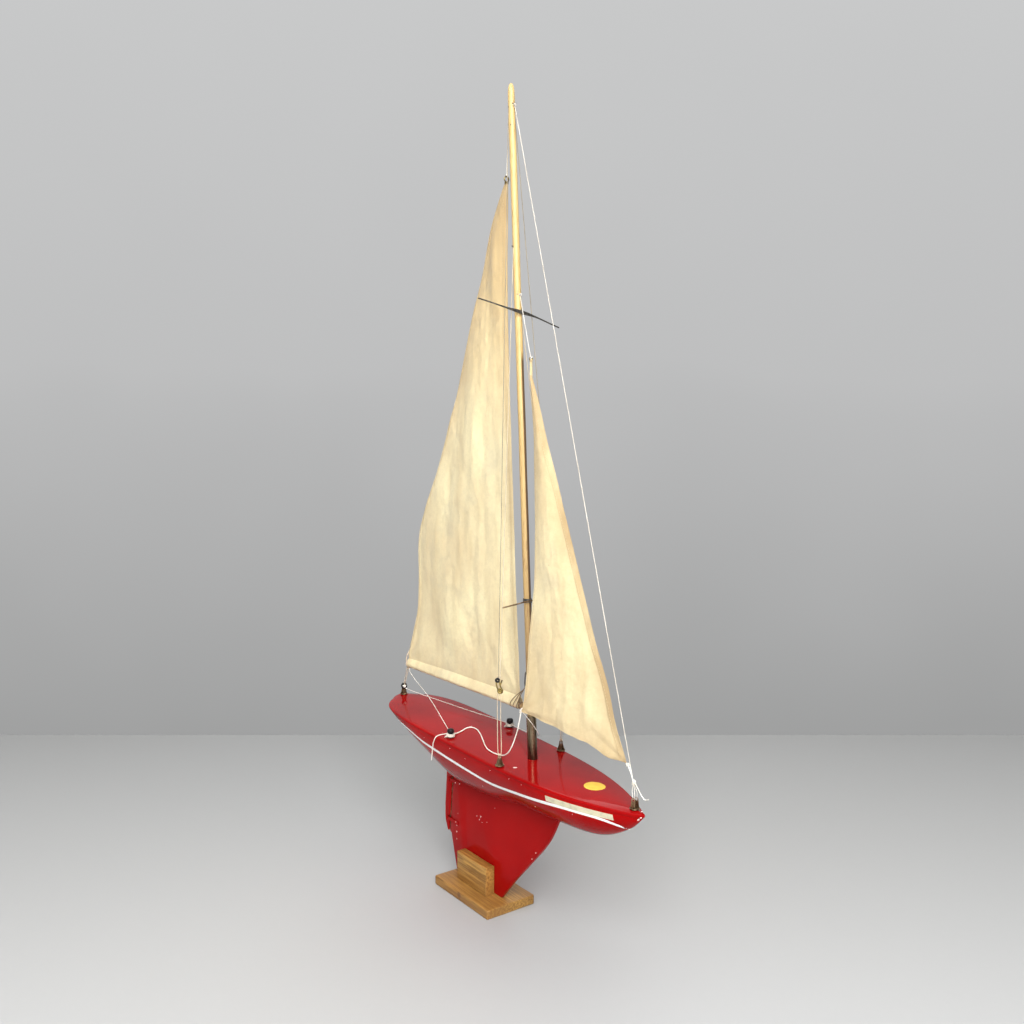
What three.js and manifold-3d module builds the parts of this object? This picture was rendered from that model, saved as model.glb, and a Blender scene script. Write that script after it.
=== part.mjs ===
// A wooden toy sailing boat on its display stand: millimetres, +X to the bow, +Y to port, +Z up.
// The origin is the middle of the stand's underside.
import * as THREE from 'three';
import { mergeVertices } from 'three/addons/utils/BufferGeometryUtils.js';
import Module from 'manifold-3d';

const wasm = await Module();
wasm.setup();

// ---- driving dimensions -------------------------------------------------------------------
const GAP = 0.3;
const TAU = 2 * Math.PI;

const base = { length: 125, width: 75, height: 12.3, corner: 7, ease: 1.2 };
const cheek = { aft: -38.3, fore: 29.5, inner: 3.1, outer: 16.9, top: 50 };
const screw = { shank: 1.6, head: 3.6, headDepth: 2.4, length: 30, inset: 14 };

const hull = { stern: -214.9, bow: 306.4, beamScale: 159.3, wall: 6, fullness: 1.8 };
const deck = { height: 217.4, slope: -0.03, thick: 5, crown: 1.5, round: 2.2 };
// Depth of the hull's centre line below the deck, along the boat.
const depthProfile = [
  [-214.9, 0], [-170, 15], [-125, 37], [-80, 55.5], [-30, 72.5], [40, 70],
  [110, 57.5], [180, 53], [240, 45.3], [283, 22.7], [306.4, 0],
];
const keel = {
  thick: 5.6, foreTop: 163, aftTop: -69, shoulder: [-80, 60], heel: [-73.5, 58.5], fore: 44, aft: -61,
};
const ballast = { aft: -34, fore: 26, top: 46 };
const rudder = { thick: 4.4, top: 156, bottom: 60, axisTop: -72.7, axisBottom: -83.2, pin: 1.1 };
const strap = { half: 2.5, reach: 25, clear: 1.6, heights: { lower: 78, upper: 135 } };

const mast = { foot: [109.4, 0, 171], top: [62, 0, 1027.6], radius: 4.6, tipRadius: 4.2 };
const tube = { radius: 6.1, bore: 4.95, top: 268.5 };
const deckEyeThick = 1;
const chainplate = { radius: 5.4, height: 12.6, half: 2.6 };
const bowBracket = { radius: 5.2, height: 13, half: 3 };
const sternEye = { radius: 5.4, height: 14, half: 3.4 };
const spreader = { sweep: 8, straight: 12, reach: 50 };
const cord = { stay: 1.5, shroud: 1.2, thin: 0.9, sheet: 1.6 };

const boomLine = { aft: [-193, 0, 274], fore: [86, 0, 276.3], radius: 3.7 };
const cloth = 0.8;
const mainTack = [82, 0, 282];
const mainHead = [53, 0, 913];
const jibTack = [274.3, 0, 257.5];
const jibHead = [102.3, 0, 698];
const jibClew = [114.5, -22.5, 281];
const bowKnot = [286.5, 0, 238];

// ---- materials ----------------------------------------------------------------------------
const finish = (color, roughness, metalness = 0) =>
  new THREE.MeshStandardMaterial({ color, roughness, metalness });
const redPaint = finish('#a01418', 0.25);
const standWood = finish('#c08a4a', 0.6);
const mastWood = finish('#d8b060', 0.55);
const innerWood = finish('#c8a878', 0.8);
const lead = finish('#6a6c70', 0.6, 0.7);
const brass = finish('#a08048', 0.4, 0.9);
const agedMetal = finish('#7a7268', 0.5, 0.8);
const darkMetal = finish('#2c2a28', 0.5, 0.7);
const blackPaint = finish('#141414', 0.4);
const whiteCord = finish('#e8e2d4', 0.9);
const sailCloth = finish('#e6d9b8', 0.9);

// ---- helpers ------------------------------------------------------------------------------
const boat = new THREE.Group();
const vec = (p) => new THREE.Vector3(...p);

function add(name, geometry, material) {
  const mesh = new THREE.Mesh(geometry, material);
  mesh.name = name;
  boat.add(mesh);
  return mesh;
}

function toSolid(geometry) {
  const bare = geometry.clone();
  for (const key of Object.keys(bare.attributes)) {
    if (key !== 'position') bare.deleteAttribute(key);
  }
  const merged = mergeVertices(bare, 1e-4);
  return new wasm.Manifold(new wasm.Mesh({
    numProp: 3,
    vertProperties: new Float32Array(merged.attributes.position.array),
    triVerts: new Uint32Array(merged.index.array),
  }));
}

function toGeometry(solid) {
  const mesh = solid.getMesh();
  const geometry = new THREE.BufferGeometry();
  geometry.setAttribute('position', new THREE.Float32BufferAttribute(mesh.vertProperties, 3));
  geometry.setIndex([...mesh.triVerts]);
  return geometry;
}

function cut(geometry, ...tools) {
  return toGeometry(tools.reduce((left, tool) => left.subtract(toSolid(tool)), toSolid(geometry)));
}

function join(geometry, ...others) {
  return toGeometry(others.reduce((whole, other) => whole.add(toSolid(other)), toSolid(geometry)));
}

const box = (x0, x1, y0, y1, z0, z1) =>
  new THREE.BoxGeometry(x1 - x0, y1 - y0, z1 - z0)
    .translate((x0 + x1) / 2, (y0 + y1) / 2, (z0 + z1) / 2);

// A geometry whose own +Y runs along the line from a to b, centred on it.
function along(geometry, a, b) {
  const from = vec(a);
  const to = vec(b);
  const turn = new THREE.Quaternion().setFromUnitVectors(
    new THREE.Vector3(0, 1, 0), to.clone().sub(from).normalize());
  const middle = from.add(to).multiplyScalar(0.5);
  return geometry.applyQuaternion(turn).translate(middle.x, middle.y, middle.z);
}

const rod = (a, b, radius, sides = 8, tip = radius) =>
  along(new THREE.CylinderGeometry(tip, radius, vec(a).distanceTo(vec(b)), sides), a, b);

function bent(points, radius, steps, sides = 6) {
  const section = new THREE.Shape();
  section.absarc(0, 0, radius, 0, TAU);
  const round = new THREE.Shape(section.getSpacedPoints(sides).slice(0, sides));
  const path = new THREE.CatmullRomCurve3(points.map(vec), false, 'centripetal');
  return new THREE.ExtrudeGeometry(round, { steps, extrudePath: path, bevelEnabled: false });
}

// A closed skin round a row of rings; every ring has the same number of points.
function loft(rings) {
  const count = rings[0].length;
  const corners = rings.flat().flatMap((p) => [p.x, p.y, p.z]);
  const faces = [];
  for (let i = 0; i + 1 < rings.length; i += 1) {
    for (let j = 0; j < count; j += 1) {
      const a = i * count + j;
      const b = i * count + (j + 1) % count;
      faces.push(a, b, b + count, a, b + count, a + count);
    }
  }
  const last = (rings.length - 1) * count;
  for (const [ring, start, flip] of [[rings[0], 0, true], [rings.at(-1), last, false]]) {
    const contour = ring.map((p) => new THREE.Vector2(p.y, p.z));
    const clockwise = THREE.ShapeUtils.area(contour) < 0;
    for (const [a, b, c] of THREE.ShapeUtils.triangulateShape(contour, [])) {
      faces.push(start + a, ...(flip !== clockwise ? [start + c, start + b] : [start + b, start + c]));
    }
  }
  const geometry = new THREE.BufferGeometry();
  geometry.setAttribute('position', new THREE.Float32BufferAttribute(corners, 3));
  geometry.setIndex(faces);
  return outward(geometry);
}

// Turns the faces round where the enclosed volume comes out negative.
function outward(geometry) {
  const at = geometry.attributes.position;
  const index = [...geometry.index.array];
  const p = [0, 1, 2].map(() => new THREE.Vector3());
  let volume = 0;
  for (let i = 0; i < index.length; i += 3) {
    p.forEach((corner, k) => corner.fromBufferAttribute(at, index[i + k]));
    volume += p[0].dot(p[1].clone().cross(p[2]));
  }
  if (volume < 0) {
    for (let i = 0; i < index.length; i += 3) {
      [index[i + 1], index[i + 2]] = [index[i + 2], index[i + 1]];
    }
    geometry.setIndex(index);
  }
  return geometry;
}

// A smooth curve y(x) through points in order of x.
function curveThrough(points) {
  const slope = points.map((p, i) => {
    const before = points[Math.max(i - 1, 0)];
    const after = points[Math.min(i + 1, points.length - 1)];
    return (after[1] - before[1]) / (after[0] - before[0]);
  });
  return (x) => {
    let i = 0;
    while (i < points.length - 2 && x > points[i + 1][0]) i += 1;
    const [[x0, y0], [x1, y1]] = [points[i], points[i + 1]];
    const span = x1 - x0;
    const t = THREE.MathUtils.clamp((x - x0) / span, 0, 1);
    return y0 * (1 + 2 * t) * (1 - t) ** 2 + slope[i] * span * t * (1 - t) ** 2
      + y1 * t * t * (3 - 2 * t) + slope[i + 1] * span * t * t * (t - 1);
  };
}

// ---- hull lines ---------------------------------------------------------------------------
function halfBeam(x) {
  const u = THREE.MathUtils.clamp((x - hull.stern) / (hull.bow - hull.stern), 0, 1);
  const fullMiddle = 1 + 0.841 * (u - 0.5) + 2.924 * (u - 0.5) ** 2;
  return hull.beamScale * u ** 0.535 * (1 - u) ** 1.009 * fullMiddle;
}
const depthAt = curveThrough(depthProfile);
const deckLine = (x) => deck.height + deck.slope * x;
const deckTop = (x, y) => deckLine(x) + deck.crown * (1 - (y / halfBeam(x)) ** 2);
const keelLine = (x) => deckLine(x) - depthAt(x);

// One side of a section, from the given depth below the deck down to the centre line.
function sectionSide(x, beam, depth, from, count) {
  const start = Math.asin((from / depth) ** (hull.fullness / 2));
  return Array.from({ length: count }, (_, i) => {
    const turn = start + (Math.PI / 2 - start) * i / (count - 1);
    const down = depth * Math.sin(turn) ** (2 / hull.fullness);
    const out = beam * Math.max(Math.cos(turn), 0) ** (2 / hull.fullness);
    return new THREE.Vector3(x, out, deckLine(x) - down);
  });
}

function bothSides(side) {
  const mirrored = side.slice(0, -1).reverse().map((p) => new THREE.Vector3(p.x, -p.y, p.z));
  return [...side, ...mirrored];
}

function stationsBetween(from, to, count) {
  return Array.from({ length: count }, (_, i) =>
    (from + to) / 2 - (to - from) / 2 * Math.cos(Math.PI * i / (count - 1)));
}

// ---- stand --------------------------------------------------------------------------------
function roundedRectangle(length, width, radius) {
  const [x, y] = [length / 2, width / 2];
  const shape = new THREE.Shape();
  shape.absarc(x - radius, y - radius, radius, 0, TAU / 4);
  shape.absarc(radius - x, y - radius, radius, TAU / 4, TAU / 2);
  shape.absarc(radius - x, radius - y, radius, TAU / 2, 3 * TAU / 4);
  shape.absarc(x - radius, radius - y, radius, 3 * TAU / 4, TAU);
  return shape;
}

const screwPlaces = [cheek.aft + screw.inset, cheek.fore - screw.inset]
  .flatMap((x) => [-1, 1].map((side) => [x, side * (cheek.inner + cheek.outer) / 2]));

function standScrew(x, y, grow = 0) {
  const profile = [
    [0, 0.5 - grow * 4], [screw.head + grow, 0.5 - grow * 4], [screw.head + grow, 0.9],
    [screw.shank + grow, screw.headDepth + 0.9], [screw.shank + grow, screw.length],
    [0, screw.length + 2 + grow],
  ].map(([r, z]) => new THREE.Vector2(r, z));
  return new THREE.LatheGeometry(profile, 10).rotateX(Math.PI / 2).translate(x, y, 0);
}

function stand() {
  const slab = new THREE.ExtrudeGeometry(
    roundedRectangle(base.length - 2 * base.ease, base.width - 2 * base.ease, base.corner),
    {
      depth: base.height - 2 * base.ease, curveSegments: 5, bevelSegments: 2,
      bevelSize: base.ease, bevelThickness: base.ease,
    }).translate(0, 0, base.ease);
  const holes = screwPlaces.map(([x, y]) => standScrew(x, y, GAP));
  add('stand_base', cut(slab, ...holes), standWood);
  for (const [side, word] of [[-1, 'starboard'], [1, 'port']]) {
    const [near, far] = [side * cheek.inner, side * cheek.outer].sort((a, b) => a - b);
    const block = box(cheek.aft, cheek.fore, near, far, base.height + GAP, cheek.top);
    add(`stand_cheek_${word}`, cut(block, ...holes), standWood);
  }
  screwPlaces.forEach(([x, y], i) => add(`stand_screw_${i + 1}`, standScrew(x, y), agedMetal));
}

// ---- hull, deck, keel and rudder ------------------------------------------------------------
function hullShell() {
  const rim = deck.thick + GAP;
  return loft(stationsBetween(-189, 297.5, 34).map((x) => {
    const [beam, depth] = [halfBeam(x), depthAt(x)];
    const innerBeam = Math.max(beam - hull.wall, 0.35 * beam);
    const innerDepth = Math.max(depth - hull.wall, rim + 0.8);
    const outer = bothSides(sectionSide(x, beam, depth, rim, 9));
    const inner = bothSides(sectionSide(x, innerBeam, innerDepth, rim, 7));
    return [...outer, ...inner.reverse()];
  }));
}

function deckPlate() {
  return loft(stationsBetween(hull.stern + 0.4, hull.bow - 0.6, 34).map((x) => {
    const beam = halfBeam(x);
    const side = [
      [0.97 * beam, deck.thick], [beam, 0.6 * deck.thick], [0.99 * beam, deck.round / 3],
      [beam - Math.min(deck.round, 0.4 * beam), 0],
    ].map(([y, down]) => new THREE.Vector3(x, y, deckLine(x) - down));
    const inward = 0.5 * side[3].y;
    side.push(new THREE.Vector3(x, inward, deckLine(x) + 0.75 * deck.crown));
    side.push(new THREE.Vector3(x, 0, deckLine(x) + deck.crown));
    return bothSides(side);
  }));
}

function plate(outline, thick) {
  const shape = new THREE.Shape(outline.map(([x, z]) => new THREE.Vector2(x, z)));
  return new THREE.ExtrudeGeometry(shape, { depth: thick, bevelEnabled: false })
    .rotateX(Math.PI / 2).translate(0, thick / 2, 0);
}

function keelFin() {
  const floor = base.height + GAP;
  const leading = new THREE.SplineCurve([
    [keel.foreTop, keelLine(keel.foreTop) - GAP], [141.9, 122], [102, 77], [70, 43], [keel.fore, floor],
  ].map(([x, z]) => new THREE.Vector2(x, z))).getPoints(16).map((p) => [p.x, p.y]);
  const notch = [
    [ballast.fore, floor], [ballast.fore, ballast.top],
    [ballast.aft, ballast.top], [ballast.aft, floor],
  ];
  const trailing = [
    [keel.aft, floor], keel.heel, keel.shoulder, [keel.aftTop, keelLine(keel.aftTop) - GAP],
  ];
  const crest = Array.from({ length: 14 }, (_, i) => {
    const x = keel.aftTop + (keel.foreTop - keel.aftTop) * (i + 1) / 15;
    return [x, keelLine(x) - GAP];
  });
  return plate([...leading, ...notch, ...trailing, ...crest], keel.thick);
}

const keelBoltPlaces = [['aft', 5], ['fore', 85]];
const boltLine = (x, top, bottom) => [[x, 0, bottom], [x, 0, top]];

function hullGroup() {
  const boltTop = (x) => keelLine(x) + hull.wall + 2.6;
  const boltHoles = keelBoltPlaces.map(([, x]) =>
    rod(...boltLine(x, boltTop(x) + 9, keelLine(x) - 29), 1.5 + GAP, 8));
  add('hull_shell', cut(hullShell(), ...boltHoles), redPaint);
  const tubeHole = rod(onMast(190), onMast(240), tube.radius + GAP, 16);
  add('deck_plate', cut(deckPlate(), tubeHole), redPaint);
  add('keel_fin', cut(keelFin(), ...boltHoles), redPaint);
  const fill = box(ballast.aft + GAP, ballast.fore - GAP, -keel.thick / 2, keel.thick / 2,
    base.height + GAP, ballast.top - GAP);
  add('keel_ballast', fill, lead);
  for (const [word, x] of keelBoltPlaces) {
    const shank = rod(...boltLine(x, boltTop(x), keelLine(x) - 28), 1.5, 8);
    const head = rod([x, 0, boltTop(x) - 1], [x, 0, boltTop(x) + 2], 3.4, 6);
    add(`keel_bolt_${word}`, join(shank, head), agedMetal);
  }
}

function rudderGroup() {
  const axisAt = (z) => THREE.MathUtils.mapLinear(
    z, rudder.bottom, rudder.top, rudder.axisBottom, rudder.axisTop);
  const blade = plate([
    [axisAt(rudder.top) + 1.2, rudder.top], [axisAt(rudder.bottom) + 1.2, rudder.bottom],
    [-84.6, rudder.bottom], [-88, 68.5], [-90.6, 75], [-91.2, 83], [-90.8, 96], [-85.2, rudder.top],
  ], rudder.thick);
  const notches = Object.values(strap.heights).map((z) => box(
    axisAt(z) - 4.9, axisAt(z) + 6, -rudder.thick, rudder.thick,
    z - strap.half - strap.clear, z + strap.half + strap.clear));
  const axisEnds = (over) => [rudder.bottom - over, rudder.top + over].map((z) => [axisAt(z), 0, z]);
  const groove = rod(...axisEnds(5), rudder.pin + GAP, 10);
  add('rudder_blade', cut(blade, ...notches, groove), redPaint);
  add('rudder_pin', rod(...axisEnds(-0.5), rudder.pin, 8), agedMetal);
  for (const [word, z] of Object.entries(strap.heights)) {
    const x = axisAt(z);
    const band = box(x - 2.4, x + strap.reach, -3.6, 3.6, z - strap.half, z + strap.half);
    const slot = box(x + 2.4, x + 30, -keel.thick / 2 - GAP, keel.thick / 2 + GAP, z - 9, z + 9);
    const bore = rod([x, 0, z - 9], [x, 0, z + 9], 1.7, 8);
    add(`rudder_strap_${word}`, cut(band, slot, bore), brass);
  }
}

// ---- mast and its fittings ------------------------------------------------------------------
const mastAxis = vec(mast.top).sub(vec(mast.foot));
const onMast = (z, out = 0, side = 0) => {
  const p = vec(mast.foot).addScaledVector(mastAxis, (z - mast.foot[2]) / mastAxis.z);
  return [p.x + out, p.y + side, z];
};
const mastPins = [
  ['masthead_aft', 1000, [-1, 0]], ['forestay', 1003, [1, 0]],
  ['lower_shroud', 836, [0, -1]], ['jib_halyard', 779, [1, 0]],
];

function mastPin(z, [dx, dy], radius, near, far) {
  return rod(onMast(z, dx * near, dy * near), onMast(z, dx * far, dy * far), radius, 6);
}

function mastGroup() {
  const [r, tip] = [mast.radius, mast.tipRadius];
  const height = mastAxis.length();
  const profile = [
    [0, 0], [r, 0], [r, height * 0.6], [tip, height - 4], [tip * 0.7, height - 1.2], [0, height],
  ].map(([x, y]) => new THREE.Vector2(x, y - height / 2));
  const pole = along(new THREE.LatheGeometry(profile, 12), mast.foot, mast.top);
  const blind = mastPins.map(([, z, way]) => mastPin(z, way, 0.6 + GAP, 1.2, 9));
  add('mast', cut(pole, ...blind), mastWood);
  for (const [word, z, way] of mastPins) {
    add(`mast_pin_${word}`, mastPin(z, way, 0.6, 1.6, 6.6), darkMetal);
  }
  const sleeve = rod(onMast(172), onMast(tube.top), tube.radius, 16);
  add('mast_tube', cut(sleeve, rod(onMast(160), onMast(290), tube.bore, 16)), agedMetal);
  const stepTop = 180;
  const floorRing = (x) => [-12, -6, 0, 6, 12].map((y) => {
    const [beam, depth] = [halfBeam(x) - hull.wall, depthAt(x) - hull.wall];
    const down = depth * (1 - (Math.abs(y) / beam) ** hull.fullness) ** (1 / hull.fullness);
    return new THREE.Vector3(x, y, deckLine(x) - down + 0.6);
  });
  const step = loft([92, 109, 126].map((x) => [
    ...floorRing(x), new THREE.Vector3(x, 12, stepTop), new THREE.Vector3(x, -12, stepTop),
  ]));
  const socket = rod(onMast(170.4), onMast(stepTop + 20), tube.radius + GAP, 16);
  add('mast_step_block', cut(step, socket), innerWood);
}

function spreaders() {
  const strip = new THREE.Shape([
    [-59, 1], [-59, -1], [-12, -2.6], [12, -2.6], [64, -1], [64, 1], [12, 2.6], [-12, 2.6],
  ].map(([x, y]) => new THREE.Vector2(x, y)));
  const flat = new THREE.ExtrudeGeometry(strip, { depth: 1, bevelEnabled: false })
    .rotateX(Math.PI / 2).rotateZ(Math.PI / 2).rotateY(Math.PI / 2);
  const tilt = Math.atan2(-28.7, 125);
  const [x, , z] = onMast(758, mast.radius + GAP + 0.2);
  flat.rotateX(tilt).computeBoundingBox();
  flat.translate(x - flat.boundingBox.min.x, 0, z);
  const at = flat.attributes.position;
  for (let i = 0; i < at.count; i += 1) {
    const beyond = Math.max(Math.abs(at.getY(i)) - spreader.straight, 0) / spreader.reach;
    at.setX(i, at.getX(i) - spreader.sweep * beyond);
  }
  add('spreader_upper', flat, darkMetal);
  const wire = bent([
    [96.4, -37.6, 405.5], [100.5, -20, 408.5], [102.8, -7, 410.6], [103.1, 0, 411],
    [102.8, 7, 410.6], [100.5, 20, 408.5], [96.4, 37.6, 405.5],
  ], 0.9, 20);
  add('spreader_lower', wire, agedMetal);
}

// ---- deck fittings --------------------------------------------------------------------------
// A pierced, tapering lug on a round foot; the hole runs along Y, or along X when the lug is turned.
function deckEye(x, y, { radius, height, half }, turned = false) {
  const foot = deckTop(x - radius, Math.max(Math.abs(y) - radius, 0)) + GAP + 0.1;
  const sole = new THREE.CylinderGeometry(radius, radius, deckEyeThick, 20)
    .rotateX(Math.PI / 2).translate(x, y, foot + deckEyeThick / 2);
  const eye = height - half;
  const outline = new THREE.Shape([-0.75, 0.75].map((share) => new THREE.Vector2(share * radius, 0.4)));
  outline.absarc(0, eye, half, 0, Math.PI);
  const flat = { depth: deckEyeThick, bevelEnabled: false, curveSegments: 5 };
  const lug = new THREE.ExtrudeGeometry(outline, flat)
    .translate(0, 0, -deckEyeThick / 2).rotateX(Math.PI / 2);
  const hole = rod([0, -3, eye], [0, 3, eye], 1.7, 8);
  for (const part of [lug, hole]) part.rotateZ(turned ? Math.PI / 2 : 0).translate(x, y, foot);
  return { geometry: cut(join(sole, lug), hole), eye: [x, y, foot + eye] };
}

const plates = {
  chainplate_starboard: deckEye(103.8, -47.4, chainplate),
  chainplate_port: deckEye(103.8, 47.4, chainplate),
  bow_bracket: deckEye(289, 0, bowBracket, true),
  stern_eye: deckEye(-206, 0, sternEye, true),
};

const cleatPlaces = { starboard: [-12.5, -42.5], port: [-4, 46.5] };

function cleats() {
  for (const [word, [x, y]] of Object.entries(cleatPlaces)) {
    const z = deckTop(x, y) + GAP;
    const profile = [
      [0, 0], [4.2, 0], [4.2, 1], [1.7, 1.6], [1.7, 8], [4, 8.8], [4, 10.4], [2.4, 12], [0, 12],
    ].map(([r, h]) => new THREE.Vector2(r, h));
    add(`cleat_${word}`,
      new THREE.LatheGeometry(profile, 12).rotateX(Math.PI / 2).translate(x, y, z), blackPaint);
    const turns = [[2.1, 2.2], [5.6, 2.2], [5.9, 4.6], [5.2, 7.2], [2.1, 7.4], [2.1, 2.2]]
      .map(([r, h]) => new THREE.Vector2(r, h));
    add(`cleat_turns_${word}`,
      new THREE.LatheGeometry(turns, 12).rotateX(Math.PI / 2).translate(x, y, z), whiteCord);
  }
}

// ---- standing rigging -----------------------------------------------------------------------
function rigging() {
  add('forestay', rod(onMast(1000, 6.2), [281.6, 0, 255.2], cord.stay / 2, 6), whiteCord);
  for (const [side, word] of [[-1, 'starboard'], [1, 'port']]) {
    const y = side * 48.6;
    const hookTop = 323;
    const lowFrom = side < 0 ? 834 : 762;
    const upper = rod(onMast(1000, -0.6, side * 6), [102.3, y - side * 0.4, hookTop], cord.shroud / 2, 6);
    const lower = rod(onMast(lowFrom, 0, side * 6), [105.7, y - side * 2.6, hookTop], cord.shroud / 2, 6);
    add(`shroud_upper_${word}`, upper, whiteCord);
    add(`shroud_lower_${word}`, lower, whiteCord);
    const hook = join(
      box(100.2, 107.8, y - 0.7, y + 0.7, 303, 322),
      rod([104, y - 1.6, 312], [104, y + 1.6, 312], 3, 8));
    const eyes = [318.6, 306.4].map((z) => rod([104, y - 4, z], [104, y + 4, z], 1.5, 8));
    add(`shroud_hook_${word}`, cut(hook, ...eyes), brass);
    const eye = plates[`chainplate_${word}`].eye;
    const lanyard = bent([
      [101.6, y + side * 1.7, 302], [103.1, y + side * 1.9, 270],
      [eye[0] - 0.4, eye[1] + side * 1.7, eye[2] + 3], [eye[0], eye[1], eye[2] - 0.9],
      [eye[0] + 0.4, eye[1] - side * 1.7, eye[2] + 3],
      [105.3, y - side * 1.9, 270], [106.4, y - side * 1.7, 302],
    ], 0.5, 26);
    add(`lanyard_${word}`, lanyard, whiteCord);
  }
  for (const [name, piece] of Object.entries(plates)) add(name, piece.geometry, agedMetal);
  const hold = plates.bow_bracket.eye;
  add('bow_lashing', bent([
    [277.6, 0, 255.4], [281.5, 0, 251], bowKnot,
    [hold[0] - 1, 0, hold[2] + 9], [hold[0] - 2.1, 0, hold[2] + 1.2],
  ], 1.0, 14, 8), whiteCord);
}

// ---- mainsail and boom ----------------------------------------------------------------------
// A sheet of cloth between two edge curves, bellied sideways, as one closed solid.
function sail(luff, leech, rows, columns, belly, thick) {
  const at = (i, j) => {
    const [s, t] = [i / rows, j / columns];
    const [a, b] = [luff.getPoint(s), leech.getPoint(s)];
    const p = a.clone().lerp(b, t);
    p.y -= belly * Math.sin(Math.PI * t) * Math.sin(Math.PI * Math.min(s * 0.85 + 0.12, 1));
    return p;
  };
  const corners = [];
  const faces = [];
  const id = (i, j, k) => (i * (columns + 1) + j) * 2 + k;
  for (let i = 0; i <= rows; i += 1) {
    for (let j = 0; j <= columns; j += 1) {
      const p = at(i, j);
      corners.push(p.x, p.y + thick / 2, p.z, p.x, p.y - thick / 2, p.z);
    }
  }
  const quad = (a, b, c, d) => faces.push(a, b, c, a, c, d);
  for (let i = 0; i < rows; i += 1) {
    for (let j = 0; j < columns; j += 1) {
      quad(id(i, j, 0), id(i, j + 1, 0), id(i + 1, j + 1, 0), id(i + 1, j, 0));
      quad(id(i, j, 1), id(i + 1, j, 1), id(i + 1, j + 1, 1), id(i, j + 1, 1));
    }
    quad(id(i, 0, 0), id(i + 1, 0, 0), id(i + 1, 0, 1), id(i, 0, 1));
    quad(id(i, columns, 0), id(i, columns, 1), id(i + 1, columns, 1), id(i + 1, columns, 0));
  }
  for (let j = 0; j < columns; j += 1) {
    quad(id(0, j, 0), id(0, j, 1), id(0, j + 1, 1), id(0, j + 1, 0));
    quad(id(rows, j, 0), id(rows, j + 1, 0), id(rows, j + 1, 1), id(rows, j, 1));
  }
  const geometry = new THREE.BufferGeometry();
  geometry.setAttribute('position', new THREE.Float32BufferAttribute(corners, 3));
  geometry.setIndex(faces);
  return outward(geometry);
}

const edge = (points) => new THREE.CatmullRomCurve3(points.map(vec), false, 'centripetal');

function mainsailGroup() {
  const luff = edge([mainTack, [70.5, 0, 432], [60, 0, 660], [55.5, 0, 800], [55.5, 0, 912]]);
  const leech = edge([
    [-190, 0, 284], [-168, 0, 343], [-159, 0, 402], [-155, 0, 476], [-79, 0, 617],
    [-43, 0, 707], [5.5, 0, 825], [50, 0, 912.5],
  ]);
  add('mainsail', sail(luff, leech, 14, 6, 7, cloth), sailCloth);
  add('boom', rod(boomLine.aft, boomLine.fore, boomLine.radius, 12), mastWood);
  add('main_head_hook', bent([
    [mainHead[0], 0, 914.5], [50.4, 0, 917], [52.6, 0, 921.2], [55.6, 0, 919], [54.6, 0, 915.2],
  ], 0.8, 12), brass);
  add('boom_lashing', bent([
    [74, -4.9, 279.5], [81, -4.4, 286], [89.2, -1.8, 297], [90.6, 0, 297.3],
  ], 0.9, 12), whiteCord);
  add('main_halyard', rod(onMast(998.6, -5.4), [53, 0, 923.6], cord.thin / 2, 6), whiteCord);
  add('gooseneck_hook', bent([
    onMast(321, -5.2), [92.6, 0, 320], [91.4, 0, 314], [91.2, 0, 304], [92.8, 0, 300.4], [95, 0, 302],
  ], 0.8, 14), darkMetal);
}

// ---- jib ------------------------------------------------------------------------------------
function jibGroup() {
  const luff = edge([
    [jibTack[0], 0, jibTack[2]], [223.5, 0, 379], [165, 0, 526.6], [132.5, 0, 609.7], [103.6, 0, 694],
  ]);
  const leech = edge([
    jibClew, [121.5, -22, 316], [125.5, -14, 440], [122.5, -8.6, 501], [114, -4, 603], [101.4, 0, 694],
  ]);
  add('jib', sail(luff, leech, 12, 6, 9, cloth), sailCloth);
  add('jib_head_hook', new THREE.TorusGeometry(2.6, 0.7, 6, 12).rotateX(Math.PI / 2)
    .translate(jibHead[0], 0, jibHead[2]), brass);
  add('jib_halyard', rod(onMast(777.6, 6.6), [102.3, 0, 702.2], cord.thin / 2, 6), whiteCord);
}

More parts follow.
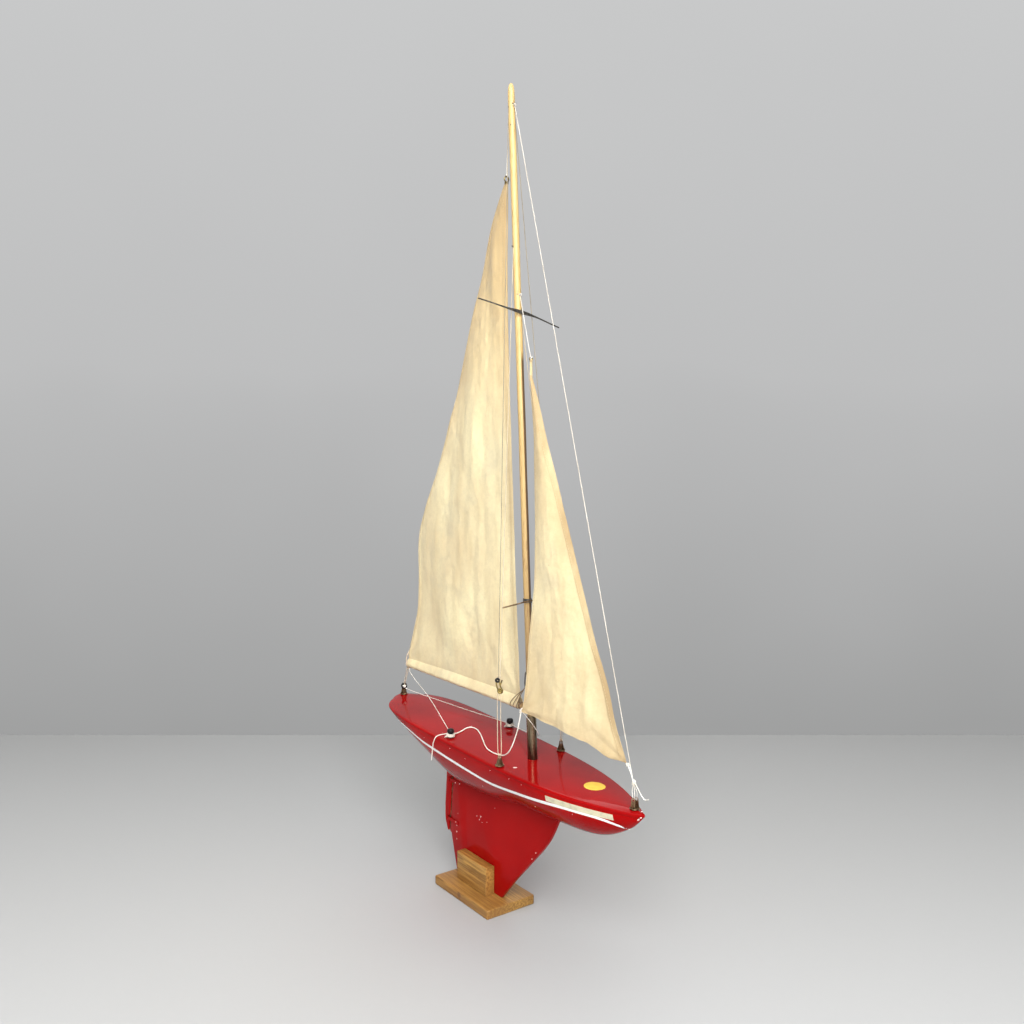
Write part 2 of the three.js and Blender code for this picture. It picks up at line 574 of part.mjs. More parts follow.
// ---- running rigging ------------------------------------------------------------------------
function sheets() {
  const [sx, sy] = cleatPlaces.starboard;
  const [px, py] = cleatPlaces.port;
  const eye = plates.stern_eye.eye;
  add('mainsheet', bent([
    [-193.6, 0, 266.6], [-199, 0, 254], [eye[0] + 2.2, 0, eye[2] + 2.6],
  ], 1.1, 8, 8), whiteCord);
  add('boom_line_starboard', bent([
    [-186, -1.4, 267.2], [-100, -20, 246], [sx - 6, sy + 2, 224],
  ], cord.thin / 2, 16), whiteCord);
  add('deck_line_port', bent([
    [eye[0] + 3, 0.8, eye[2] - 1], [-110, 22, 228], [px - 6, py - 2, 223.4],
  ], cord.thin / 2, 16), whiteCord);
  const onDeck = [
    [-18, -30], [-21, -20], [-27, -8.5], [-26.5, -1], [-18, 0.8], [-1.6, -4.2], [20.5, -14.8],
    [40, -24.5], [54, -29.4], [67, -30.4], [78, -28.2],
  ].map(([x, y]) => [x, y, deckTop(x, y) + 1.2]);
  add('jib_sheet_starboard', bent([
    [sx + 1, sy + 7, 223], ...onDeck, [88.5, -28.2, 220.6], [97, -27.8, 228], [104, -26.6, 241],
    [109.4, -25.2, 256], [112.4, -24, 270], [113.6, -23, 279.4],
  ], cord.sheet / 2, 90, 8), whiteCord);
  add('jib_sheet_port', bent([
    [114.6, -21, 279], [118.6, -10, 264], [116.2, 1, 250], [100, 12, 240], [40, 34, 228],
    [px + 6, py - 1.6, 223],
  ], cord.thin / 2, 30), whiteCord);
  add('sheet_tail_starboard', bent([
    [sx - 6, sy - 1, 222.4], [sx - 12, sy - 6, 220.6], [-26, -56, 219], [-29, -58.6, 211],
    [-31, -59, 200], [-33, -59.4, 186],
  ], cord.shroud / 2, 36, 8), whiteCord);
  add('bow_tail', bent([
    [286.9, 0, 243], [288.4, 0, 241], [291, 0, 237], [295, 0, 233], [299.6, 0, 228], [304.5, 0, 225.4],
    [310, 0, 227.6],
  ], cord.shroud / 2, 20, 8), whiteCord);
}

stand();
hullGroup();
rudderGroup();
mastGroup();
spreaders();
cleats();
rigging();
mainsailGroup();
jibGroup();
sheets();

export default boat;
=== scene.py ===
"""The finished look of a wooden toy sailing boat on its stand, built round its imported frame.

Shapes are in millimetres in the boat's own frame (+X to the bow, +Y to port, +Z up), and piece() turns
them into metres.
"""
import math

import bmesh
import bpy
import numpy as np
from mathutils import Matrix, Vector, kdtree, noise


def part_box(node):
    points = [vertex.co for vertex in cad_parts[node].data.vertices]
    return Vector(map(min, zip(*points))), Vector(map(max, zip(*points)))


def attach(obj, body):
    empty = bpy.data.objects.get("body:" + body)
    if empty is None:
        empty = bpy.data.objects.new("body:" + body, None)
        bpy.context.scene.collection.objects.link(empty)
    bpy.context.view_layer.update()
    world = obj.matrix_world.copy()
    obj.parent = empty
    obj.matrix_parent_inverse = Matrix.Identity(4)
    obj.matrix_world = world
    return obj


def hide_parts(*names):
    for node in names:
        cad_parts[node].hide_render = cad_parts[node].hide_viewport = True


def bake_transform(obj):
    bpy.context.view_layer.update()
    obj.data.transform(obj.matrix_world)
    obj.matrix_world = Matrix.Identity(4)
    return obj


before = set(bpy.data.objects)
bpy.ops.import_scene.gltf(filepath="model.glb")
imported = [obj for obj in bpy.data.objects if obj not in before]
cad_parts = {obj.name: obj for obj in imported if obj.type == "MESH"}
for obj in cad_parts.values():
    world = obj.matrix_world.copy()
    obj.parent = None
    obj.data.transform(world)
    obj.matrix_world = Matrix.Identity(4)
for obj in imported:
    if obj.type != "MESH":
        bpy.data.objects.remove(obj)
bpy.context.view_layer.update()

MM = 0.001
TAU = 2 * math.pi
X, Y, Z = 0, 1, 2
STARBOARD, PORT = -1, 1
SIDES = {"starboard": STARBOARD, "port": PORT}
MAST_FOOT, MAST_TOP = np.array([109.4, 0, 171]), np.array([62, 0, 1027.6])
MAST_RAKE = -0.0553
# The height in metres where the painted shadow of the jib on the mast starts.
JIB_SHADOW_TOP = 0.7
KNOT_AT = (-0.0024, -0.0375, 0.0079)
CAMERA_AT = (1.055, -0.72625, 0.6325)
CAMERA_TURN, CAMERA_DOWN = 53.76, 5.41

# noise_vector follows the clock unless it is seeded; plain noise is fixed.
noise.seed_set(1)


def linked(name, data):
    obj = bpy.data.objects.new(name, data)
    bpy.context.collection.objects.link(obj)
    return obj


def make_camera():
    data = bpy.data.cameras.new("camera")
    data.lens = 35.156
    data.sensor_width = 36
    camera = linked("camera", data)
    camera.location = CAMERA_AT
    camera.rotation_euler = (math.radians(90 - CAMERA_DOWN), 0, math.radians(CAMERA_TURN))
    bpy.context.scene.camera = camera
    bpy.context.scene.view_settings.view_transform = "Standard"


make_camera()


# ---- materials ----------------------------------------------------------------------------
class Finish:
    """A material whose nodes are added one at a time; a socket passed as a value is linked."""

    def __init__(self, name, **constants):
        self.material = bpy.data.materials.new(name)
        self.material.use_nodes = True
        self.tree = self.material.node_tree
        self.shader = self.tree.nodes["Principled BSDF"]
        self.place = self.add("TexCoord").outputs["Object"]
        self.set(**constants)

    def set(self, **values):
        for key, value in values.items():
            self.plug(self.shader.inputs[key.replace("_", " ")], value)

    def plug(self, socket, value):
        if isinstance(value, bpy.types.NodeSocket):
            self.tree.links.new(value, socket)
        else:
            socket.default_value = (*value, 1.0) if socket.type == "RGBA" else value

    def add(self, kind, inputs=(), **settings):
        made = self.tree.nodes.new("ShaderNode" + kind)
        for key, value in settings.items():
            setattr(made, key, value)
        for key, value in dict(inputs).items():
            self.plug(made.inputs[key], value)
        return made

    def texture(self, kind, stretch, inputs, **settings):
        vector = self.add("Mapping", {"Vector": self.place, "Scale": stretch}).outputs[0]
        return self.add(kind, {"Vector": vector, **inputs}, **settings).outputs["Fac"]

    def noise(self, scale, detail, rough, stretch=(1, 1, 1)):
        return self.texture("TexNoise", stretch, {"Scale": scale, "Detail": detail, "Roughness": rough})

    def wave(self, scale, direction, distortion, detail, stretch=(1, 1, 1)):
        return self.texture("TexWave", stretch, {"Scale": scale, "Distortion": distortion, "Detail": detail},
                            bands_direction=direction)

    def span(self, value, low, high, to_low=0.0, to_high=1.0):
        return self.add("MapRange", {
            "Value": value, "From Min": low, "From Max": high, "To Min": to_low, "To Max": to_high,
        }).outputs[0]

    def math(self, operation, a, b):
        return self.add("Math", {0: a, 1: b}, operation=operation).outputs[0]

    def times(self, a, b):
        return self.math("MULTIPLY", a, b)

    def mix(self, amount, a, b):
        return self.add("Mix", {0: amount, 6: a, 7: b}, data_type="RGBA", blend_type="MIX").outputs[2]

    def tones(self, value, low, high, a, b, most=1.0):
        """Colour a where value is low and b, or most of it, where value is high."""
        return self.mix(self.span(value, low, high, 0.0, most), a, b)

    def axis(self, letter):
        return self.add("SeparateXYZ", {"Vector": self.place}).outputs[letter]

    def measure(self, operation, point):
        """The dot product with a point or the distance to it."""
        return self.add("VectorMath", {0: self.place, 1: point}, operation=operation).outputs["Value"]

    def bump(self, height, depth, below=None):
        """Bump of the given depth in millimetres for heights from 0 to 1."""
        inputs = {"Height": height, "Distance": depth * MM, "Strength": 1.0}
        if below is not None:
            inputs["Normal"] = below
        return self.add("Bump", inputs).outputs[0]


def enamel(name, deep, bright, gloss, tint, rough):
    """Brushed gloss enamel over wood: the red varies in depth, with faint brush marks and dust."""
    f = Finish(name, IOR=1.46, Specular_IOR_Level=gloss, Specular_Tint=tint)
    brushed = f.noise(60, 4, 0.6, (0.25, 1, 1))
    dust = f.times(f.span(f.noise(700, 2, 0.6), 0.7, 0.76), 0.22)
    tone = f.tones(f.noise(9, 3, 0.5), 0.35, 0.65, deep, bright)
    f.set(Base_Color=f.mix(dust, tone, (0.62, 0.2, 0.17)), Roughness=f.span(brushed, 0.3, 0.7, *rough))
    f.set(Normal=f.bump(brushed, 0.03, f.bump(f.noise(45, 2, 0.5), 0.16)))
    return f.material


def stand_oak():
    """Oak with fine fibres, dark pores, wide rings and one knot on the starboard edge of the board."""
    f = Finish("stand_oak", Coat_Weight=0.06, Coat_Roughness=0.4)
    fibres = f.noise(330, 6, 0.65, (0.05, 1, 1))
    pores = f.span(f.noise(650, 2, 0.5, (0.05, 1, 1)), 0.62, 0.72)
    base = f.tones(fibres, 0.41, 0.59, (0.22, 0.1, 0.016), (0.54, 0.3, 0.072))
    ringed = f.mix(f.times(f.wave(9, "Z", 7, 2, (0.12, 1, 1)), 0.5), base, (0.3, 0.13, 0.028))
    shaded = f.tones(f.noise(28, 3, 0.5, (0.5, 1, 1)), 0.4, 0.72, ringed, (0.22, 0.105, 0.025), 0.5)
    ragged = f.span(f.noise(300, 3, 0.6), 0.3, 0.7, -0.0015, 0.0015)
    knotted = f.span(f.math("ADD", f.measure("DISTANCE", KNOT_AT), ragged), 0.0025, 0.0055, 0.75, 0.0)
    tone = f.mix(knotted, shaded, (0.12, 0.045, 0.015))
    f.set(Base_Color=f.mix(f.times(pores, 0.85), tone, (0.12, 0.05, 0.014)))
    f.set(Roughness=f.span(fibres, 0.3, 0.7, 0.42, 0.6), Normal=f.bump(pores, -0.12, f.bump(fibres, 0.1)))
    return f.material


def pine():
    """A varnished pine dowel, darker towards the deck with painted shade of the jib, and with a painted
    shadow of the jib as a dark strip down its port bow side below the jib's head.
    """
    f = Finish("mast_pine", Coat_Weight=0.2, Coat_Roughness=0.3)
    grain = f.noise(420, 5, 0.6, (1, 1, 0.035))
    # low, and old made from it, darken the mast towards the deck: painted shade of the jib.
    low = f.span(f.axis("Z"), 0.3, 0.74, 1.0, 0.0)
    tone = f.tones(grain, 0.3, 0.7, (0.72, 0.53, 0.225), (0.62, 0.4, 0.15))
    old = f.mix(f.times(low, 0.7), tone, (0.3, 0.17, 0.075))
    # below, port, ahead and the strip made from them paint the jib's shadow down the mast's port bow side.
    below = f.span(f.axis("Z"), JIB_SHADOW_TOP, JIB_SHADOW_TOP + 0.012, 1.0, 0.0)
    port = f.times(f.span(f.axis("Y"), -0.0014, -0.0006), below)
    rake = f.times(f.math("SUBTRACT", f.axis("Z"), MAST_FOOT[2] * MM), MAST_RAKE)
    ahead = f.math("SUBTRACT", f.math("SUBTRACT", f.axis("X"), MAST_FOOT[0] * MM), rake)
    painted_jib_shadow = f.times(f.times(port, f.span(ahead, -0.001, 0.0005)), 0.92)
    flecks = f.span(f.noise(500, 3, 0.6, (1, 1, 0.09)), 0.57, 0.68)
    spots = f.times(flecks, f.math("ADD", f.times(low, 0.4), 0.5))
    f.set(Base_Color=f.mix(spots, f.mix(painted_jib_shadow, old, (0.09, 0.045, 0.018)), (0.2, 0.1, 0.04)))
    f.set(Roughness=f.span(grain, 0.3, 0.7, 0.4, 0.6), Normal=f.bump(grain, 0.12))
    return f.material


def bare_wood():
    f = Finish("bare_wood", Roughness=0.8)
    grain = f.noise(300, 5, 0.6, (0.08, 1, 1))
    f.set(Base_Color=f.tones(grain, 0.3, 0.7, (0.5, 0.34, 0.18), (0.66, 0.5, 0.3)),
          Normal=f.bump(grain, 0.15))
    return f.material


def canvas():
    """Aged cotton: a plain weave with painted shade between its threads, golden near the head, stained, and
    brown where its vertex attribute of dirt and painted shade is high.
    """
    f = Finish("canvas", Sheen_Weight=0.15, Sheen_Roughness=0.5)
    weave = f.math("MAXIMUM", f.wave(560, "X", 0.6, 1), f.wave(560, "Z", 0.6, 1))
    slub = f.noise(260, 3, 0.6, (1, 1, 0.06))
    high = f.span(f.axis("Z"), 0.6, 0.87)
    tone = f.tones(f.noise(10, 4, 0.55, (1, 1, 0.6)), 0.38, 0.6, (0.78, 0.63, 0.37), (0.93, 0.81, 0.49))
    tone = f.mix(f.times(high, 0.9), tone, (0.78, 0.54, 0.24))
    tone = f.tones(f.noise(34, 4, 0.55, (1, 1, 0.2)), 0.5, 0.72, tone, (0.62, 0.46, 0.23), 0.5)
    tone = f.tones(f.noise(15, 6, 0.62), 0.53, 0.74, tone, (0.52, 0.46, 0.33), 0.5)
    tone = f.tones(f.noise(190, 5, 0.7), 0.4, 0.75, tone, (0.6, 0.48, 0.28), 0.32)
    brown = f.times(f.span(f.noise(42, 5, 0.6, (1, 1, 0.5)), 0.54, 0.7), high)
    tone = f.mix(f.times(brown, 0.6), tone, (0.34, 0.21, 0.1))
    # Darker between the threads of the weave: painted shade in the hollows of the bump.
    tone = f.mix(f.times(f.span(weave, 0, 1, 1, 0), 0.2), tone, (0.45, 0.36, 0.2))
    # The vertex attribute read here holds dirt, and painted shade along the edges, hems, foot and under the
    # foot sleeve.
    browning = f.add("Attribute", attribute_name="browning").outputs["Fac"]
    uneven = f.span(f.noise(24, 4, 0.6, (1, 1, 0.45)), 0.3, 0.62, 0.4, 1.0)
    tone = f.mix(f.times(browning, uneven), tone, (0.47, 0.33, 0.165))
    spot = f.times(f.span(f.noise(90, 2, 0.5), 0.775, 0.79), 0.7)
    f.set(Base_Color=f.mix(spot, tone, (0.12, 0.09, 0.06)), Roughness=f.span(slub, 0.3, 0.7, 0.82, 0.95))
    crumple = f.bump(f.noise(70, 4, 0.6), 0.9, f.bump(f.noise(26, 3, 0.5, (1, 1, 0.5)), 1.6))
    f.set(Normal=f.bump(weave, 0.08, f.bump(slub, 0.12, crumple)))
    return f.material


def twine(name, tone, browning):
    f = Finish(name, Sheen_Weight=0.2)
    fibre = f.noise(2600, 3, 0.6)
    f.set(Base_Color=f.tones(f.noise(45, 4, 0.6), 0.42, 0.72, tone, browning, 0.7))
    f.set(Roughness=f.span(fibre, 0.3, 0.7, 0.78, 0.9), Normal=f.bump(fibre, 0.06))
    return f.material


def metal(name, clean, tarnish, rough, metallic=1.0, grain=(1, 1, 1)):
    f = Finish(name, Metallic=metallic)
    scratch = f.noise(900, 3, 0.6, grain)
    f.set(Base_Color=f.tones(f.noise(170, 5, 0.62, grain), 0.38, 0.62, clean, tarnish))
    f.set(Roughness=f.span(scratch, 0.3, 0.7, rough - 0.1, rough + 0.14), Normal=f.bump(scratch, 0.04))
    return f.material


def paint(name, tone, shade, rough, gloss=0.5):
    f = Finish(name, Specular_IOR_Level=gloss)
    cloud = f.noise(140, 4, 0.6)
    f.set(Base_Color=f.tones(cloud, 0.45, 0.75, tone, shade, 0.8))
    f.set(Roughness=f.span(cloud, 0.3, 0.7, rough, rough + 0.15), Normal=f.bump(cloud, 0.05))
    return f.material


red = enamel("red_enamel", (0.3, 0.0025, 0.003), (0.41, 0.0035, 0.0035), 0.12, (1.0, 0.2, 0.19), (0.1, 0.2))
# The deck's enamel is a darker red than the hull's red_enamel. That is painted shade: the same paint,
# darkened because the deck takes more of the lamps' light.
shaded_deck_red = enamel(
    "shaded_deck_enamel", (0.24, 0.0025, 0.003), (0.35, 0.0035, 0.0035), 0.16, (1.0, 0.42, 0.42), (0.03, 0.08))
oak = stand_oak()
mast_pine = pine()
inner = bare_wood()
cotton = canvas()
white_twine = twine("white_twine", (0.9, 0.86, 0.78), (0.66, 0.56, 0.42))
pale_twine = twine("pale_twine", (0.78, 0.72, 0.62), (0.45, 0.37, 0.27))
tan_twine = twine("tan_twine", (0.7, 0.56, 0.4), (0.42, 0.31, 0.2))
# The grey and buff twines are the white cord painted darker. This is painted shade for the shrouds seen
# against the bright sails and for the mainsheet in shade.
shaded_grey_twine = twine("shaded_grey_twine", (0.36, 0.3, 0.21), (0.2, 0.155, 0.1))
shaded_buff_twine = twine("shaded_buff_twine", (0.66, 0.56, 0.4), (0.4, 0.32, 0.21))
dark_twine = twine("dark_twine", (0.24, 0.155, 0.08), (0.1, 0.06, 0.03))
gold_twine = twine("gold_twine", (0.72, 0.55, 0.3), (0.48, 0.33, 0.16))
thread = twine("sail_thread", (0.62, 0.5, 0.3), (0.42, 0.32, 0.18))
brass = metal("tarnished_brass", (0.5, 0.38, 0.13), (0.1, 0.07, 0.03), 0.3)
aged = metal("aged_metal", (0.4, 0.27, 0.15), (0.11, 0.065, 0.035), 0.36, 0.85)
pipe = metal("mast_pipe", (0.32, 0.25, 0.16), (0.075, 0.05, 0.03), 0.28, grain=(1, 1, 0.12))
dark = metal("blued_metal", (0.2, 0.185, 0.16), (0.08, 0.07, 0.06), 0.42, 0.8)
lead = metal("lead", (0.2, 0.2, 0.21), (0.1, 0.1, 0.105), 0.6)
black = paint("black_enamel", (0.012, 0.012, 0.013), (0.03, 0.026, 0.024), 0.3, 0.2)
white = paint("white_stripe", (0.95, 0.95, 0.94), (0.85, 0.8, 0.78), 0.3)
cream_label = paint("cream_label", (0.66, 0.6, 0.42), (0.4, 0.38, 0.26), 0.45)
yellow_label = paint("yellow_label", (0.86, 0.52, 0.02), (0.72, 0.4, 0.02), 0.3)
primer = paint("bare_primer", (0.9, 0.74, 0.7), (0.66, 0.4, 0.36), 0.6)
SLOTS = {
    "red_paint": (red, shaded_deck_red, white, cream_label, yellow_label, primer), "stand_wood": (oak,),
    "mast_wood": (mast_pine,), "sail_cloth": (cotton, thread), "brass": (brass,),
    "aged_metal": (aged, pipe), "dark_metal": (dark, black),
    "white_cord": (white_twine, pale_twine, tan_twine, shaded_grey_twine, shaded_buff_twine, dark_twine, gold_twine)}
SLOT_OF = {material.name: slot for slot, group in SLOTS.items() for material in group}


# ---- mesh helpers -------------------------------------------------------------------------
def piece(name, shape, material, node=None, sharp=None, body="boat", slot=None):
    """A mesh from points in millimetres and faces, smooth except over edges sharper than sharp degrees."""
    mesh = bpy.data.meshes.new(name)
    mesh.from_pydata((np.asarray(shape[0], float) * MM).tolist(), [], shape[1])
    work = bmesh.new()
    work.from_mesh(mesh)
    bmesh.ops.remove_doubles(work, verts=work.verts, dist=1e-7)
    bmesh.ops.dissolve_degenerate(work, edges=work.edges, dist=1e-8)
    bmesh.ops.recalc_face_normals(work, faces=work.faces)
    work.to_mesh(mesh)
    work.free()
    mesh.shade_smooth()
    if sharp is not None:
        mesh.set_sharp_from_angle(angle=math.radians(sharp))
    mesh.materials.append(material)
    obj = linked(name, mesh)
    if body:
        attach(obj, body)
    slot or SLOT_OF[material.name]
    if node:
        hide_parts(node)
    return obj


def joined(*parts):
    """One shape from several."""
    points, faces = [], []
    for more, polygons in parts:
        start = len(points)
        points.extend(np.asarray(more, float).tolist())
        faces.extend([[start + i for i in polygon] for polygon in polygons])
    return points, faces


def skin(rings, around=False, caps=False):
    """Faces between rings: back round to the first ring if around, with flat ends if caps."""
    rings = np.asarray(rings, float)
    rows, count = rings.shape[:2]
    faces = []
    for i in range(rows if around else rows - 1):
        for j in range(count):
            a, b, shift = i * count + j, i * count + (j + 1) % count, (i + 1) % rows * count - i * count
            faces.append([a, b, b + shift, a + shift])
    if caps:
        faces += [list(range(start, start + count)) for start in (0, (rows - 1) * count)]
    return rings.reshape(-1, 3), faces


def lofted(rings):
    """A closed skin over a row of rings, with a fan on each end."""
    points, faces = skin(rings)
    count = len(rings[0])
    vertices = points.tolist()
    for start in (0, len(points) - count):
        faces.extend([[start + j, start + (j + 1) % count, len(vertices)] for j in range(count)])
        vertices.append(points[start:start + count].mean(axis=0).tolist())
    return vertices, faces


def thick_sheet(front, back):
    """A closed body between two grids of points that share their outline."""
    front, back = np.asarray(front, float), np.asarray(back, float)
    rows, columns = front.shape[:2]
    size = rows * columns
    faces = []
    for i in range(rows - 1):
        for a in range(i * columns, i * columns + columns - 1):
            quad = [a, a + 1, a + columns + 1, a + columns]
            faces += [quad, [k + size for k in reversed(quad)]]
    index = np.arange(size).reshape(rows, columns)
    rim = [*index[0], *index[1:, -1], *index[-1, -2::-1], *index[-2:0:-1, 0]]
    faces += [[int(k) for k in (a, a + size, b + size, b)] for a, b in zip(rim, rim[1:] + rim[:1])]
    return np.concatenate([front.reshape(-1, 3), back.reshape(-1, 3)]), faces


def curve_through(points):
    """A smooth function through points given in order of their first value."""
    at, value = np.array(points, float).T
    slope = np.empty_like(value)
    slope[1:-1] = (value[2:] - value[:-2]) / (at[2:] - at[:-2])
    slope[0] = (value[1] - value[0]) / (at[1] - at[0])
    slope[-1] = (value[-1] - value[-2]) / (at[-1] - at[-2])

    def read(x):
        i = np.clip(np.searchsorted(at, x, side="left") - 1, 0, len(at) - 2)
        span = at[i + 1] - at[i]
        t = np.clip((x - at[i]) / span, 0, 1)
        return (value[i] * (1 + 2 * t) * (1 - t) ** 2 + slope[i] * span * t * (1 - t) ** 2
                + value[i + 1] * t * t * (3 - 2 * t) + slope[i + 1] * span * t * t * (t - 1))

    return read


def run_along(path):
    return np.concatenate([[0], np.cumsum(np.linalg.norm(np.diff(path, axis=0), axis=1))])


def even_steps(path, step):
    path = np.asarray(path, float)
    gone = run_along(path)
    at = np.linspace(0, gone[-1], max(int(round(gone[-1] / step)), 2) + 1)
    return np.column_stack([np.interp(at, gone, path[:, k]) for k in range(path.shape[1])])


def smooth_path(points, step):
    """Even steps along the centripetal Catmull-Rom curve through points."""
    p = np.asarray(points, float)
    p = np.vstack([2 * p[0] - p[1], p, 2 * p[-1] - p[-2]])
    run = []
    for a, b, c, d in zip(p, p[1:], p[2:], p[3:]):
        gaps = [max(np.linalg.norm(v - u), 1e-6) ** 0.5 for u, v in ((a, b), (b, c), (c, d))]
        knots = np.cumsum([0] + gaps)
        t = np.linspace(knots[1], knots[2], 33)[:, None]

        def blend(low, high, x, y):
            return ((knots[high] - t) * x + (t - knots[low]) * y) / (knots[high] - knots[low])

        ab, bc, cd = blend(0, 1, a, b), blend(1, 2, b, c), blend(2, 3, c, d)
        run.append(blend(1, 2, blend(0, 2, ab, bc), blend(1, 3, bc, cd))[:-1])
    return even_steps(np.vstack(run + [p[-2:-1]]), step)


def tube(path, radius, sides=12, strands=0):
    """A closed tube along a path. With strands, it is a rope whose lobes turn once in 4.5 diameters."""
    ahead = np.gradient(path, axis=0)
    ahead /= np.linalg.norm(ahead, axis=1)[:, None]
    last = np.array([0, 0, 1.0]) if abs(ahead[0][2]) < 0.8 else np.array([1.0, 0, 0])
    across = np.empty_like(path)
    for i, way in enumerate(ahead):
        last = last - way * last.dot(way)
        last /= np.linalg.norm(last)
        across[i] = last
    up = np.cross(ahead, across)
    radius = np.broadcast_to(np.asarray(radius, float), (len(path),)).copy()
    angle = np.arange(sides) * TAU / sides
    shape, twist = np.ones(sides), np.zeros(len(path))
    if strands:
        shape = 0.74 + 0.26 * np.abs(np.cos(strands * angle / 2)) ** 0.8
        twist = run_along(path) / (4.5 * 2 * radius.max()) * TAU
    turned = angle[None, :] + twist[:, None]
    reach = radius[:, None] * shape[None, :]
    return lofted(path[:, None, :] + (reach * np.cos(turned))[..., None] * across[:, None, :]
                  + (reach * np.sin(turned))[..., None] * up[:, None, :])


def rope(points, diameter, sides=9, strands=3, detail=0.42):
    return tube(smooth_path(points, diameter * detail), diameter / 2, sides, strands)


def line_between(a, b, diameter):
    """A straight rope."""
    return tube(even_steps([a, b], diameter * 0.42), diameter / 2, 9, 3)


def coil(centre, radius, turns, rise, start=0.0, axis="z"):
    """Points of a helix about an upright or a lengthwise axis through centre."""
    t = np.linspace(0, turns * TAU, int(turns * 20) + 1)
    along = rise * (t / (turns * TAU) - 0.5)
    a, b = radius * np.cos(t + start), radius * np.sin(t + start)
    return np.column_stack((a, b, along) if axis == "z" else (along, a, b)) + np.asarray(centre, float)


def knot(centre, size, diameter, tilt=0.0):
    """An overhand knot: a tube round a trefoil."""
    t = np.linspace(0, TAU, 60)
    p = np.column_stack([np.sin(t) + 2 * np.sin(2 * t), np.cos(t) - 2 * np.cos(2 * t), -1.2 * np.sin(3 * t)])
    c, s = math.cos(tilt), math.sin(tilt)
    turn = np.array([[1, 0, 0], [0, c, -s], [0, s, c]])
    return tube(p @ turn.T * (size / 6) + np.asarray(centre, float), diameter / 2, 9, 3)


def basis(axis):
    """The unit vector along an axis and two across it."""
    way = np.array(Vector(axis).normalized())
    across = np.array(Vector(way).orthogonal().normalized())
    return way, across, np.cross(way, across)


def spun_rings(profile, sides, base, axis):
    """Rings for a profile of (radius, height) about an axis from base."""
    way, across, up = basis(axis)
    angle = np.arange(sides) * TAU / sides
    return [[np.asarray(base, float) + way * height + radius * (math.cos(a) * across + math.sin(a) * up)
             for a in angle] for radius, height in profile]


def spun(profile, sides, base=(0, 0, 0), axis=(0, 0, 1)):
    return lofted(spun_rings(profile, sides, base, axis))


def offset_outline(outline, inset):
    """The outline moved inwards along the mean normal of each corner."""
    p = np.asarray(outline, float)
    before, after = np.roll(p, 1, axis=0), np.roll(p, -1, axis=0)
    u = (p - before) / np.linalg.norm(p - before, axis=1)[:, None]
    v = (after - p) / np.linalg.norm(after - p, axis=1)[:, None]
    side = 1 if np.sum(p[:, 0] * after[:, 1] - after[:, 0] * p[:, 1]) > 0 else -1
    normal = np.column_stack([-(u + v)[:, 1], (u + v)[:, 0]])
    normal /= np.maximum(np.linalg.norm(normal, axis=1), 1e-9)[:, None]
    spread = np.clip(1 / np.maximum(np.abs(u[:, 1] * -normal[:, 0] + u[:, 0] * normal[:, 1]), 0.5), 1, 1.6)
    return p + side * inset * spread[:, None] * normal


def rounded_plate(outline, half, edge, place, steps=4):
    """A flat plate with rounded edges. place turns (a, b, across) into a point."""
    turns = np.linspace(0, math.pi / 2, steps + 1)
    levels = [(edge * (1 - math.cos(t)), half - edge + edge * math.sin(t)) for t in turns]
    levels = levels[::-1] + [(inset, -level) for inset, level in levels]
    return skin([[place(a, b, level) for a, b in offset_outline(outline, inset)] for inset, level in levels],
                caps=True)


def rounded_outline(corners, radius, steps=6):
    """A polygon whose corners are replaced with arcs."""
    p = np.asarray(corners, float)
    made = []
    for before, here, after in zip(np.roll(p, 1, axis=0), p, np.roll(p, -1, axis=0)):
        back, on = before - here, after - here
        r = min(radius, 0.45 * np.linalg.norm(back), 0.45 * np.linalg.norm(on))
        a, b = (here + way / np.linalg.norm(way) * r for way in (back, on))
        made += [(1 - t) ** 2 * a + 2 * t * (1 - t) * here + t * t * b for t in np.linspace(0, 1, steps)]
    return made


def resampled(outline, step):
    """A closed outline with no side longer than step."""
    made = []
    p = [np.asarray(q, float) for q in outline]
    for a, b in zip(p, p[1:] + p[:1]):
        count = max(int(math.ceil(np.linalg.norm(b - a) / step)), 1)
        made.extend([a + (b - a) * k / count for k in range(count)])
    return made


def box_of(node):
    low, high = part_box(node)
    return np.array(low) / MM, np.array(high) / MM


# ---- lines of the boat --------------------------------------------------------------------
STERN, BOW = -214.9, 306.4
BEAM_SCALE, FULLNESS = 159.3, 1.8
DECK_HEIGHT, DECK_SLOPE, DECK_THICK, CROWN = 217.4, -0.03, 5.0, 1.5
depth_at = curve_through([
    (-214.9, 0), (-170, 15), (-125, 37), (-80, 55.5), (-30, 72.5), (40, 70),
    (110, 57.5), (180, 53), (240, 45.3), (283, 22.7), (306.4, 0)])


def half_beam(x):
    u = np.clip((x - STERN) / (BOW - STERN), 0, 1)
    return BEAM_SCALE * u ** 0.535 * (1 - u) ** 1.009 * (1 + 0.841 * (u - 0.5) + 2.924 * (u - 0.5) ** 2)


def deck_line(x):
    return DECK_HEIGHT + DECK_SLOPE * x


def deck_top(x, y):
    return deck_line(x) + CROWN * (1 - (y / half_beam(x)) ** 2)


def keel_line(x):
    return deck_line(x) - depth_at(x)


def hull_point(x, down, side):
    """The point of the topside or bottom at a depth below the deck."""
    turn = np.arcsin(np.clip(down / depth_at(x), 0, 1) ** (FULLNESS / 2))
    return np.array([x, side * half_beam(x) * np.cos(turn) ** (2 / FULLNESS), deck_line(x) - down])


def on_line(start, end, at, known, wanted):
    """The wanted coordinate of the point on a line whose known coordinate is at."""
    return start[wanted] + (end[wanted] - start[wanted]) * (at - start[known]) / (end[known] - start[known])


